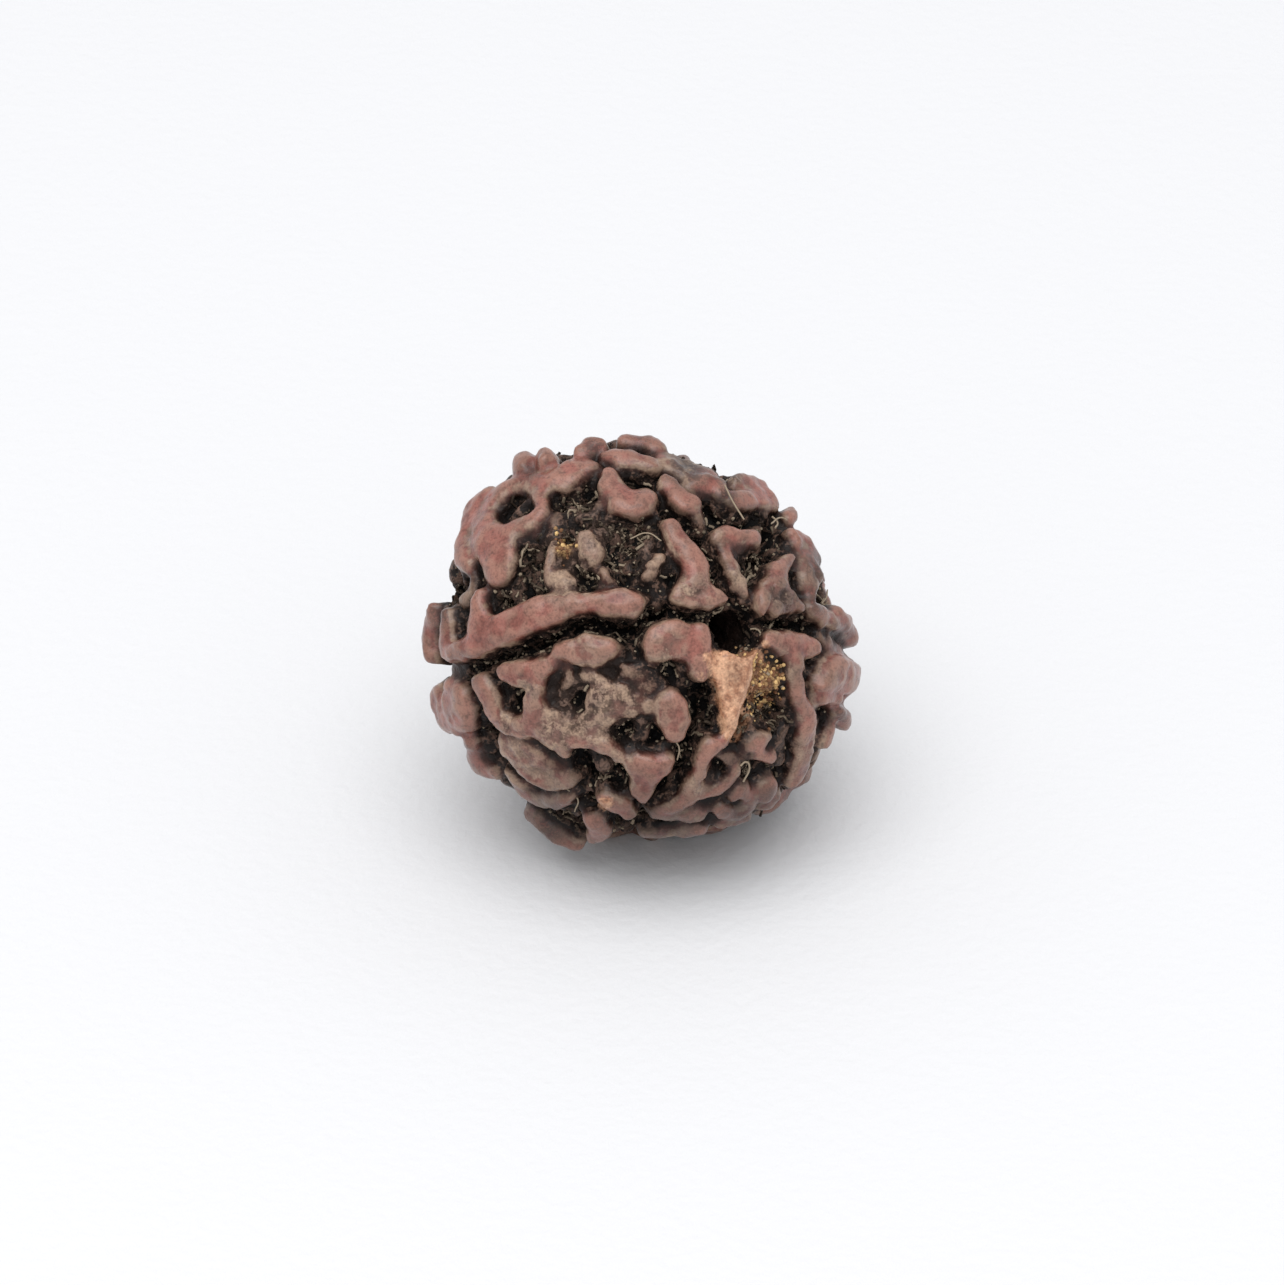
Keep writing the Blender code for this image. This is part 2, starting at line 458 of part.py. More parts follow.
def hump_strokes(clefts):
    """Low humps and bridges that rise from the floor between the ridges."""
    draw = np.random.default_rng(HUMP_DRAW)
    places = even_points(HUMP_CHOICE)
    places = spaced(places[clefts.measure(places)[:, 0] > HUMP_CLEFT_CLEAR], HUMP_SPACING, draw)
    humps = Strokes()
    for i, j in linked(places, HUMP_JOIN, HUMP_MOST, clefts, draw)[0]:
        width = draw.uniform(*HUMP_WIDTHS)
        middle = (places[i] + places[j]) / 2 + draw.uniform(-HUMP_SWAY, HUMP_SWAY, 3)
        corners = ((*places[i], width), (*middle, HUMP_WAIST * width), (*places[j], width))
        humps.add(corners, draw.uniform(*HUMP_TOPS))
    return humps


def smooth(t):
    t = np.clip(t, 0, 1)
    return t * t * (3 - 2 * t)


def noise_shift(seed, turn):
    return seed * NOISE_STEP + turn * Vector((1, -1, 0))


def wavy(points, waves, seed):
    """Smooth noise, one height for each point."""
    total = np.zeros(len(points))
    for turn, (size, height) in enumerate(waves):
        shift = noise_shift(seed, turn)
        total += height * np.array([noise.noise(Vector(p) / size + shift) for p in points])
    return total


def wavy_shift(points, waves, seed):
    """Smooth noise, one vector for each point, the same in every run."""
    noise.seed_set(NOISE_DRAW)
    total = np.zeros((len(points), 3))
    for turn, (size, height) in enumerate(waves):
        shift = noise_shift(seed, turn)
        total += height * np.array([noise.noise_vector(Vector(p) / size + shift) for p in points])
    return total


def bulge(directions):
    """How far the stone stands out past the ovoid in these directions."""
    total = np.zeros(len(directions))
    for bearing, reach, height in BULGES:
        middle = np.array((math.cos(math.radians(bearing)), math.sin(math.radians(bearing)), 0.0))
        angle = np.degrees(np.arccos(np.clip(directions @ middle, -1, 1)))
        total += height * np.exp(-((angle / reach) ** 2))
    return total


def filled(points):
    """How far the floor between the ridges is filled up, mm."""
    total = np.zeros(len(points))
    for x, y, reach, rise in FLOOR_FILLS:
        away = np.linalg.norm(points - wrapped(x, y), axis=1)
        total = np.maximum(total, rise * np.exp(-((away / reach) ** 2)))
    for x, y, radius in FLOOR_HOLES:
        away = np.linalg.norm(points - wrapped(x, y), axis=1)
        total *= smooth((away - radius) / FILL_EDGE)
    behind = smooth((HIDDEN_FROM - points[:, 2]) / HIDDEN_RIM_REACH)
    patches = smooth(wavy(points, FILL_WAVES, 7))
    return np.maximum(total, HIDDEN_RISE * behind * patches)


def raised(columns, floor, crest, reach):
    """Depth below the ovoid across strokes: rounded over the crest, then down a wall."""
    outside, width = columns[:, 0], columns[:, 2]
    lean = np.clip(outside / np.minimum(EDGE_ROUND, width) + 1, 0, 1)
    brow = EDGE_DROP * (1 - np.sqrt(1 - lean**2)) - crest
    drop = np.maximum(floor - brow, LEAST_DROP)
    return brow + drop * smooth(outside / reach)


def tucked(columns, directions):
    """How far the points beside a ridge move under it, which makes its wall steep."""
    outside, width, outward = columns[:, 0], columns[:, 2], columns[:, 3:]
    down = np.clip(outside / WALL_REACH, 0, 1)
    neck = np.minimum(UNDERCUT, MOST_UNDERCUT * width) * np.sin(math.pi * down)
    inward = WALL_TUCK * np.clip(outside, 0, WALL_REACH) + neck
    inward *= 1 - smooth((outside - WALL_REACH) / SKIRT_REACH)
    lateral = outward - directions * (outward * directions).sum(1, keepdims=True)
    return lateral * inward[:, None]


def stone_surface(directions):
    """The stone's points over these directions from its centre, as seen from its front."""
    clefts = cleft_strokes()
    ridges = front_strokes()
    ridges.extend(hidden_strokes(ridges, clefts))
    humps = hump_strokes(clefts)
    base = on_ovoid(directions)
    bent = base + wavy_shift(base, BENDS, 1)
    over_ridges = ridges.measure(bent)
    over_ridges[:, 0] -= RIDGE_SPREAD + wavy(base, EDGE_WAVES, 2)
    over_humps = humps.measure(bent)
    groove = np.exp(-((clefts.measure(bent)[:, 0] / GROOVE_REACH) ** 2))
    floor = NET_DEPTH + wavy(base, FLOOR_WAVES, 3) + CLEFT_DEPTH * groove
    floor -= filled(base) * (1 - groove)
    floor = raised(over_humps, floor, over_humps[:, 1] + wavy(base, HUMP_WAVES, 4), HUMP_REACH)
    depth = raised(over_ridges, floor, over_ridges[:, 1] + wavy(base, CREST_WAVES, 5), WALL_REACH)
    height = bulge(directions) - depth
    points = base + directions * height[:, None] - tucked(over_ridges, directions)
    return points + wavy_shift(points, SKIN_WAVES, 6)


def new_collection(name):
    collection = bpy.data.collections.new(name)
    bpy.context.scene.collection.children.link(collection)
    return collection


def placed(name, mesh, collection):
    item = bpy.data.objects.new(name, mesh)
    collection.objects.link(item)
    return item


def cutter(name, mesh, collection):
    """An object that only cuts others."""
    item = placed(name, mesh, collection)
    item.hide_render = True
    item.display_type = "WIRE"
    return item


def settle(item):
    """Replaces the object's mesh by what its modifiers make of it."""
    evaluated = item.evaluated_get(bpy.context.evaluated_depsgraph_get())
    mesh = bpy.data.meshes.new_from_object(evaluated)
    item.modifiers.clear()
    item.data = mesh


def remesh(item, voxel):
    modifier = item.modifiers.new("Remesh", "REMESH")
    modifier.mode = "VOXEL"
    modifier.voxel_size = voxel * MM
    settle(item)


def cut(item, tool):
    modifier = item.modifiers.new("Cut", "BOOLEAN")
    modifier.operation = "DIFFERENCE"
    modifier.object = tool
    settle(item)


def thin(item, triangles):
    """Leaves about this many triangles."""
    count = sum(len(face.vertices) - 2 for face in item.data.polygons)
    modifier = item.modifiers.new("Thin", "DECIMATE")
    modifier.ratio = min(1.0, triangles / count)
    settle(item)


def stone_mesh():
    """A ball of small triangles moved out to the stone's surface, in metres."""
    ball = bmesh.new()
    bmesh.ops.create_icosphere(ball, subdivisions=MESH_STEPS, radius=1)
    directions = np.array([vertex.co.normalized() for vertex in ball.verts])
    points = stone_surface(directions) @ np.array(front_frame()).T * MM
    for vertex, point in zip(ball.verts, points):
        vertex.co = point
    mesh = bpy.data.meshes.new("stone")
    ball.to_mesh(mesh)
    ball.free()
    return mesh


def bore_cutter(collection):
    """The bore's inside, turned about the polar axis: narrow within, wide at both mouths."""
    upper = ((0, CUTTER_REACH), (MOUTH_RADIUS, CUTTER_REACH), (MOUTH_RADIUS, MOUTH_LEVEL),
             (BORE_RADIUS, NECK_LEVEL))
    profile = upper + tuple((radius, -level) for radius, level in reversed(upper))
    shape = bmesh.new()
    corners = [shape.verts.new((radius * MM, 0, height * MM)) for radius, height in profile]
    for upper, lower in zip(corners, corners[1:]):
        shape.edges.new((upper, lower))
    mesh = bpy.data.meshes.new("bore")
    shape.to_mesh(mesh)
    shape.free()
    bore = cutter("bore_cutter", mesh, collection)
    screw = bore.modifiers.new("Screw", "SCREW")
    screw.steps = screw.render_steps = CUTTER_SIDES
    screw.use_merge_vertices = True
    screw.merge_threshold = 0.00001
    bore.rotation_euler = (front_frame() @ POLE).to_track_quat("Z", "Y").to_euler()
    return bore


def rest_cutter(collection):
    """A block whose top is the level that the stone rests at."""
    size = 2 * CUTTER_REACH * MM
    shape = bmesh.new()
    bmesh.ops.create_cube(shape, size=size)
    mesh = bpy.data.meshes.new("rest")
    shape.to_mesh(mesh)
    shape.free()
    block = cutter("rest_cutter", mesh, collection)
    block.location.z = -REST_LEVEL * MM - size / 2
    return block


def wood():
    material = bpy.data.materials.new("stone_wood")
    material.use_nodes = True
    surface = material.node_tree.nodes["Principled BSDF"]
    surface.inputs["Base Color"].default_value = WOOD_COLOUR
    surface.inputs["Roughness"].default_value = WOOD_ROUGHNESS
    surface.inputs["Metallic"].default_value = 0.0
    return material


def main():
    for item in list(bpy.data.objects):
        bpy.data.objects.remove(item)
    parts = new_collection("rudraksha_seed")
    cutters = new_collection("cutters")
    seed = placed("seed", stone_mesh(), parts)
    bore = bore_cutter(cutters)
    block = rest_cutter(cutters)
    bpy.context.view_layer.update()
    remesh(seed, VOXEL)
    cut(seed, bore)
    remesh(seed, VOXEL)
    thin(seed, NODE_TRIANGLES)
    cut(seed, block)
    corners = [Vector(corner) for corner in seed.bound_box]
    middle = sum(corners, Vector()) / 8
    seed.location = (-middle.x, -middle.y, REST_LEVEL * MM)
    seed.data.shade_smooth()
    seed.data.materials.clear()
    seed.data.materials.append(wood())


if __name__ == "__main__":
    main()
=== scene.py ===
"""Rudraksha seed: the finished look of the stone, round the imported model.

The stone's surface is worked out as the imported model's is, at a finer step, and gets grain, dried
pulp in its pits and a few stray hairs. Lengths are in millimetres, as seen from the stone's front,
until a mesh is made: meshes and the scene are in metres.
"""

import math

import bmesh
import bpy
import numpy as np
from bpy.props import FloatProperty, FloatVectorProperty, PointerProperty
from mathutils import Matrix, Vector, noise


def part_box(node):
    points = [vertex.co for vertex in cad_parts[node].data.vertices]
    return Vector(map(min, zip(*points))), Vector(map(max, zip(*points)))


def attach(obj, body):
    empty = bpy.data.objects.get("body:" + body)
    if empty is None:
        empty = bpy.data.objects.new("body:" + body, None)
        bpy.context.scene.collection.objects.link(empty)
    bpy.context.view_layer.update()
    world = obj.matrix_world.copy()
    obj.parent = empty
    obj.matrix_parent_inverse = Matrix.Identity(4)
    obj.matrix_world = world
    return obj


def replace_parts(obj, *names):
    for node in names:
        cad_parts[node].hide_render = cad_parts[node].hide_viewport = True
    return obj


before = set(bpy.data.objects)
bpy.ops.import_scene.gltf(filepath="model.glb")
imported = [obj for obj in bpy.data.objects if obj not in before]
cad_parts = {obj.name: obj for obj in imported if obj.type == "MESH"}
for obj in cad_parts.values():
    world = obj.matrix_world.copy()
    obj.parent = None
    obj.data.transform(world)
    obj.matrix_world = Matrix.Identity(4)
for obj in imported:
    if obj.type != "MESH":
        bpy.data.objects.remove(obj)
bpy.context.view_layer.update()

CAD_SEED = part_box("seed")

bl_info = {
    "name": "Rudraksha seed",
    "version": (1, 0, 0),
    "blender": (4, 5, 0),
    "location": "3D View > Sidebar > Seed",
    "description": "Builds a gnarled five-faced fruit stone with dried pulp in its pits",
    "category": "Object",
}

# A millimetre in the scene's metres
MM = 0.001

# The stone's form, mm
LONG_RADIUS = 11.35
SHORT_RADIUS = 10.25
POLAR_RADIUS = 9.8
MOUTH_RADIUS = 1.3
MOUTH_LEVEL = 9.2
NECK_LEVEL = 6.5
REST_LEVEL = 10.1

# The stone is described as it is seen from its front: x right, y up, z towards the eye
FRONT_ELEVATION = math.radians(35)
POLE = Vector((5.1, 0.6, 8.35)).normalized()
LONG_AXIS_ANGLE = math.radians(140)

# Where the ovoid bulges or is flat, seen from the front: bearing and reach in degrees, mm
BULGES = ((48, 9, 0.4), (73, 12, -0.6), (162, 7, -1.15), (200, 12, 0.5), (219, 8, 0.45), (250, 10, 0.4),
          (277, 14, -0.95), (290, 8, -0.4), (305, 10, -0.3))

# How a ridge's section is shaped, mm: the tuck is a share of the way out, the most undercut of the width
RIDGE_SPREAD = -0.03
EDGE_ROUND = 0.62
EDGE_DROP = 0.38
WALL_REACH = 0.5
WALL_TUCK = 0.2
SKIRT_REACH = 0.8
UNDERCUT = 0.05
MOST_UNDERCUT = 0.4
LEAST_DROP = 0.05
HUMP_REACH = 0.3
GROOVE_REACH = 0.45
BLEND = 0.14
STROKE_STEP = 0.45

# The clefts behind the front: angle between their points, and how far, how often and from where they sway
CLEFT_STEP = 0.16
CLEFT_SWAY = 0.05
CLEFT_TURNS = 7
CLEFT_PHASE = 3

# The net where the front table ends: the draw it comes from, how many places it picks from, the most
# ridges that meet at a place and the share of a lone ridge's length; the rest in mm
HIDDEN_DRAW = 11
HIDDEN_CHOICE = 3000
HIDDEN_FROM = 3.5
HIDDEN_SPACING = 1.95
HIDDEN_JOIN = 3.3
HIDDEN_MOST = 3
HIDDEN_RIM = -5.0
HIDDEN_RIM_REACH = 3.5
HIDDEN_RIM_DROP = 0.75
HIDDEN_SWAY = 0.35
HIDDEN_WIDTHS = (0.36, 0.78)
HIDDEN_WAISTS = (0.3, 0.5)
HIDDEN_TOPS = (-0.15, 0.2)
LONE_HALF = 0.3
RIDGE_CLEAR = 1.0
CLEFT_CLEAR = 0.85

# How neighbouring places are joined: clear of the clefts, with room between joins, not always
JOIN_CLEFT_CLEAR = 0.75
JOIN_ROOM = 0.45
JOIN_CHANCE = 0.8

# Where the floor between the ridges is filled up: (x, y, reach, rise), and the holes left in the
# filling: (x, y, radius). Behind the front it is filled in patches.
FLOOR_FILLS = (
    (-2.6, -3.2, 2.4, 1.3), (-5.2, -2.9, 1.2, 1.1), (-6.0, -6.1, 1.2, 0.9), (-0.4, -2.3, 1.2, 0.9),
    (-3.3, 3.4, 1.5, 1.4), (-3.1, 5.4, 1.1, 0.9), (-2.4, 6.9, 0.9, 0.9), (-4.5, 4.3, 0.7, 0.9),
    (-0.9, 2.9, 0.8, 0.8), (0.5, 3.8, 0.8, 0.9), (7.9, 3.0, 0.9, 0.9), (6.0, -2.1, 1.2, 1.3),
    (-2.4, 2.7, 0.8, 1.2), (8.8, 2.0, 0.7, 0.7), (5.2, 4.2, 0.6, 0.8), (-8.6, -4.9, 0.7, 0.5),
    (2.4, -6.9, 0.6, 0.6),
    (4.6, 8.0, 0.7, 0.8), (1.0, 7.9, 0.6, 0.6), (6.5, 6.3, 0.7, 0.7), (7.1, -5.6, 0.7, 0.6),
    (2.0, 9.0, 1.4, 1.2), (4.3, 8.2, 0.9, 1.1), (-5.6, 3.6, 0.8, 0.9), (-1.8, -7.4, 0.7, 0.6),
)
FLOOR_HOLES = (
    (-6.5, -2.9, 0.55), (-3.4, -3.3, 0.5), (-4.6, -2.3, 0.35), (-0.9, -4.8, 0.4), (0.3, -4.9, 0.5),
    (0.0, -1.3, 0.35), (-1.9, 4.4, 0.5), (-6.2, 7.0, 0.6), (-5.8, 4.7, 0.5), (-6.6, 2.3, 0.6),
    (-2.8, 7.8, 0.5), (-1.0, 5.3, 0.6), (-3.1, -5.5, 0.3), (-4.1, -3.3, 0.25), (-2.7, -2.0, 0.25),
)
FILL_EDGE = 0.35
HIDDEN_RISE = 0.9

# The low humps between all ridges, as above; their waist is a share of their width
HUMP_DRAW = 5
HUMP_CHOICE = 6000
HUMP_SPACING = 1.3
HUMP_JOIN = 2.0
HUMP_MOST = 2
HUMP_SWAY = 0.25
HUMP_WAIST = 0.8
HUMP_WIDTHS = (0.12, 0.36)
HUMP_TOPS = (-1.1, -0.4)
HUMP_CLEFT_CLEAR = 0.5

# Unevenness, as waves of a size and a height, mm
BENDS = ((1.5, 0.16), (0.5, 0.05))
EDGE_WAVES = ((1.1, 0.13), (0.5, 0.08))
CREST_WAVES = ((2.2, 0.16), (0.8, 0.09))
FLOOR_WAVES = ((1.7, 0.4), (0.6, 0.2))
HUMP_WAVES = ((1.2, 0.2),)
SKIN_WAVES = ((0.7, 0.07),)
FILL_WAVES = ((2.6, 2.0),)
NOISE_STEP = Vector((7.31, 3.17, 5.73))
NOISE_DRAW = 3

# Which part of the noise each kind of unevenness reads
BEND_PART, EDGE_PART, FLOOR_PART, HUMP_PART, CREST_PART, SKIN_PART, FILL_PART = range(1, 8)
GRAIN_PART, PIT_GRAIN_PART, CRUST_PART = range(21, 24)
PATCH_PART = 31

# Each ridge: how far its crest stands above the ovoid, then (x, y, half width) along it
UPPER_LEFT_FACE = (
    (0.10, ((-8.15, 2.5, 0.34), (-8.2, 1.4, 0.5), (-8.0, 0.4, 0.8), (-6.8, 0.75, 0.68),
            (-5.4, 1.4, 0.68), (-4.0, 1.75, 0.55), (-2.6, 2.05, 0.45), (-1.2, 2.0, 0.6),
            (-0.3, 1.85, 0.55))),
    (0.15, ((-9.8, 1.4, 0.42), (-9.85, 0.3, 0.48), (-9.8, -0.5, 0.45), (-9.0, -0.35, 0.42),
            (-8.2, -0.1, 0.5))),
    (0.35, ((-10.4, 1.6, 0.42), (-10.6, 0.7, 0.5), (-10.6, -0.5, 0.5))),
    (0.0, ((-7.2, 3.6, 0.82), (-7.5, 4.7, 0.92), (-8.1, 5.7, 0.92), (-8.0, 6.7, 0.68),
           (-7.1, 7.6, 0.58), (-6.1, 8.15, 0.52), (-5.2, 8.1, 0.5), (-4.2, 8.2, 0.7),
           (-3.4, 8.8, 0.7), (-2.6, 8.95, 0.42))),
    (0.0, ((-7.2, 5.3, 0.5), (-6.0, 5.95, 0.42), (-5.1, 6.5, 0.42))),
    (-0.1, ((-5.7, 7.75, 0.26), (-5.25, 7.25, 0.26), (-5.05, 6.8, 0.3))),
    (0.15, ((-7.8, 7.5, 0.5), (-8.4, 6.9, 0.7), (-8.75, 6.2, 0.6))),
    (0.05, ((-8.9, 5.7, 0.55), (-9.1, 4.6, 0.5), (-8.8, 4.0, 0.4))),
    (-0.35, ((-9.3, 2.2, 0.42), (-8.8, 2.6, 0.36), (-8.7, 3.3, 0.36))),
    (0.5, ((-5.85, 8.6, 0.42), (-5.7, 9.1, 0.55))),
    (0.4, ((-4.75, 8.85, 0.4), (-4.65, 9.2, 0.5))),
    (0.3, ((-3.0, 9.5, 0.42), (-2.3, 9.9, 0.48), (-2.0, 9.9, 0.42))),
    (0.1, ((-0.9, 10.2, 0.42), (0.2, 10.1, 0.5), (1.0, 9.8, 0.45))),
    (-0.15, ((1.2, 9.4, 0.65), (2.2, 8.95, 0.85), (3.3, 8.6, 0.7))),
    (0.05, ((-1.9, 9.4, 0.3), (-1.0, 9.3, 0.42), (-0.2, 9.2, 0.5), (0.35, 9.1, 0.56))),
    (0.05, ((-1.7, 8.5, 0.45), (-1.45, 7.8, 0.48), (-0.9, 7.15, 0.8), (-0.2, 7.1, 0.8), (0.2, 7.35, 0.6))),
    (-0.1, ((-2.8, 5.15, 0.66), (-2.6, 4.65, 0.6))),
    (-0.25, ((-4.2, 3.15, 0.46), (-3.75, 2.9, 0.46))),
    (-0.3, ((-2.0, 3.5, 0.32), (-1.75, 3.15, 0.3))),
    (-0.35, ((-4.7, 5.1, 0.26), (-4.65, 4.1, 0.28), (-4.75, 3.0, 0.24))),
    (-0.45, ((-4.1, 4.85, 0.26), (-3.65, 4.7, 0.3))),
    (-0.55, ((-3.4, 6.55, 0.26), (-2.6, 6.8, 0.32), (-1.8, 7.25, 0.32))),
    (0.05, ((1.35, 5.9, 0.46), (1.9, 5.1, 0.55), (2.5, 4.2, 0.62), (2.75, 3.3, 0.6),
            (2.5, 2.6, 0.72), (1.75, 2.25, 0.4))),
    (0.0, ((2.9, 2.4, 0.6), (3.6, 2.2, 0.45), (4.2, 2.15, 0.25))),
    (-0.35, ((0.2, 3.5, 0.42), (0.55, 3.9, 0.48), (0.95, 4.3, 0.34))),
)
TOP_FACE = (
    (0.05, ((1.25, 8.15, 0.36), (1.6, 7.65, 0.38), (2.1, 7.1, 0.42), (2.7, 6.95, 0.42))),
    (0.05, ((2.6, 7.95, 0.5), (3.2, 8.15, 0.6), (3.75, 7.9, 0.46), (4.0, 7.4, 0.3))),
    (0.1, ((4.5, 7.15, 0.28), (5.3, 7.3, 0.5), (6.0, 7.4, 0.72), (6.4, 7.35, 0.72))),
    (0.1, ((4.6, 8.2, 0.3), (5.4, 8.1, 0.4), (6.0, 7.95, 0.42))),
    (0.2, ((7.45, 6.6, 0.32), (7.5, 6.2, 0.32))),
    (0.0, ((3.8, 5.5, 0.38), (4.8, 5.4, 0.34), (5.6, 5.35, 0.46), (5.85, 5.3, 0.42))),
    (-0.2, ((4.1, 5.2, 0.34), (4.35, 4.4, 0.3), (4.75, 3.6, 0.4), (5.05, 3.0, 0.48), (5.2, 2.5, 0.34))),
    (0.1, ((7.5, 5.6, 0.34), (7.75, 5.2, 0.34))),
)
RIGHT_FACE = (
    (0.05, ((7.5, 4.3, 0.32), (6.95, 3.7, 0.4), (6.6, 3.1, 0.42), (6.15, 2.5, 0.34), (5.95, 1.9, 0.3),
            (6.0, 1.4, 0.2))),
    (0.0, ((6.9, 3.2, 0.45), (6.95, 2.4, 0.62), (6.8, 1.8, 0.42))),
    (0.05, ((7.1, 2.6, 0.45), (7.6, 2.15, 0.42), (8.0, 1.75, 0.34))),
    (0.05, ((8.0, 5.4, 0.42), (8.5, 4.8, 0.62), (8.6, 4.0, 0.66), (8.5, 3.2, 0.6), (8.6, 2.4, 0.36))),
    (0.1, ((8.6, 1.75, 0.34), (9.3, 1.3, 0.4), (9.9, 0.95, 0.4))),
    (0.3, ((9.8, 1.6, 0.36), (10.3, 0.8, 0.46), (10.5, 0.1, 0.44))),
    (-0.35, ((9.3, 0.2, 0.35), (9.9, -0.35, 0.5), (10.4, -0.7, 0.5))),
)
LOWER_RIGHT_FACE = (
    (0.05, ((6.4, 0.05, 0.5), (7.1, -0.1, 0.56), (7.9, -0.15, 0.58), (8.7, -0.25, 0.42))),
    (0.05, ((7.7, -0.5, 0.52), (7.8, -1.3, 0.36), (7.8, -2.2, 0.36), (8.1, -3.1, 0.36), (8.45, -4.1, 0.56),
            (8.35, -5.3, 0.6), (8.1, -6.4, 0.66), (7.75, -6.95, 0.5))),
    (-0.65, ((6.4, -0.3, 0.5), (6.8, -1.2, 0.62), (7.0, -2.3, 0.5))),
    (0.45, ((8.9, -2.1, 0.36), (9.7, -1.5, 0.8), (10.4, -1.6, 0.85))),
    (0.2, ((9.0, -2.7, 0.3), (9.8, -2.7, 0.42))),
    (0.35, ((9.8, -3.4, 0.36), (10.1, -3.9, 0.46))),
    (0.1, ((9.6, -4.4, 0.4), (9.2, -5.2, 0.4))),
    (-0.1, ((4.6, -1.2, 1.0), (4.65, -2.0, 0.85), (4.6, -3.0, 0.66), (4.55, -3.8, 0.38),
            (4.45, -4.6, 0.2))),
    (-0.2, ((3.4, -0.8, 0.28), (3.9, -1.0, 0.34), (4.3, -1.2, 0.45))),
    (-0.3, ((6.1, 0.1, 0.22), (5.7, -0.3, 0.24), (5.25, -0.8, 0.34), (4.8, -1.3, 0.5))),
    (0.0, ((4.1, -4.95, 0.42), (3.6, -5.2, 0.44), (3.1, -5.9, 0.34), (2.9, -6.8, 0.38),
           (2.6, -7.6, 0.5), (2.1, -8.1, 0.36), (1.4, -8.4, 0.36))),
    (-0.1, ((3.1, -7.8, 0.26), (3.9, -7.5, 0.24), (4.6, -7.0, 0.22), (4.8, -6.4, 0.18))),
    (-0.4, ((4.0, -5.8, 0.3), (4.8, -6.0, 0.28), (5.6, -5.9, 0.28))),
    (-0.2, ((5.5, -5.3, 0.34), (6.1, -5.0, 0.46), (6.5, -4.85, 0.36))),
    (-0.1, ((5.9, -5.75, 0.3), (6.5, -5.9, 0.42))),
    (0.2, ((6.4, -7.1, 0.55), (6.3, -7.6, 0.55))),
    (0.0, ((3.9, -8.4, 0.34), (4.5, -8.7, 0.36), (5.2, -8.5, 0.36), (5.5, -7.95, 0.34), (5.0, -7.5, 0.26),
           (4.5, -7.9, 0.2))),
    (-0.15, ((0.9, -8.75, 0.5), (1.9, -8.8, 0.6), (2.9, -8.9, 0.5))),
    (-0.1, ((0.3, -9.9, 0.5), (1.3, -9.9, 0.55))),
    (0.0, ((2.2, -9.7, 0.6), (3.0, -9.6, 0.5))),
    (0.0, ((4.1, -9.3, 0.45), (5.2, -8.9, 0.5))),
    (0.0, ((6.1, -8.4, 0.45), (6.7, -7.9, 0.5))),
)
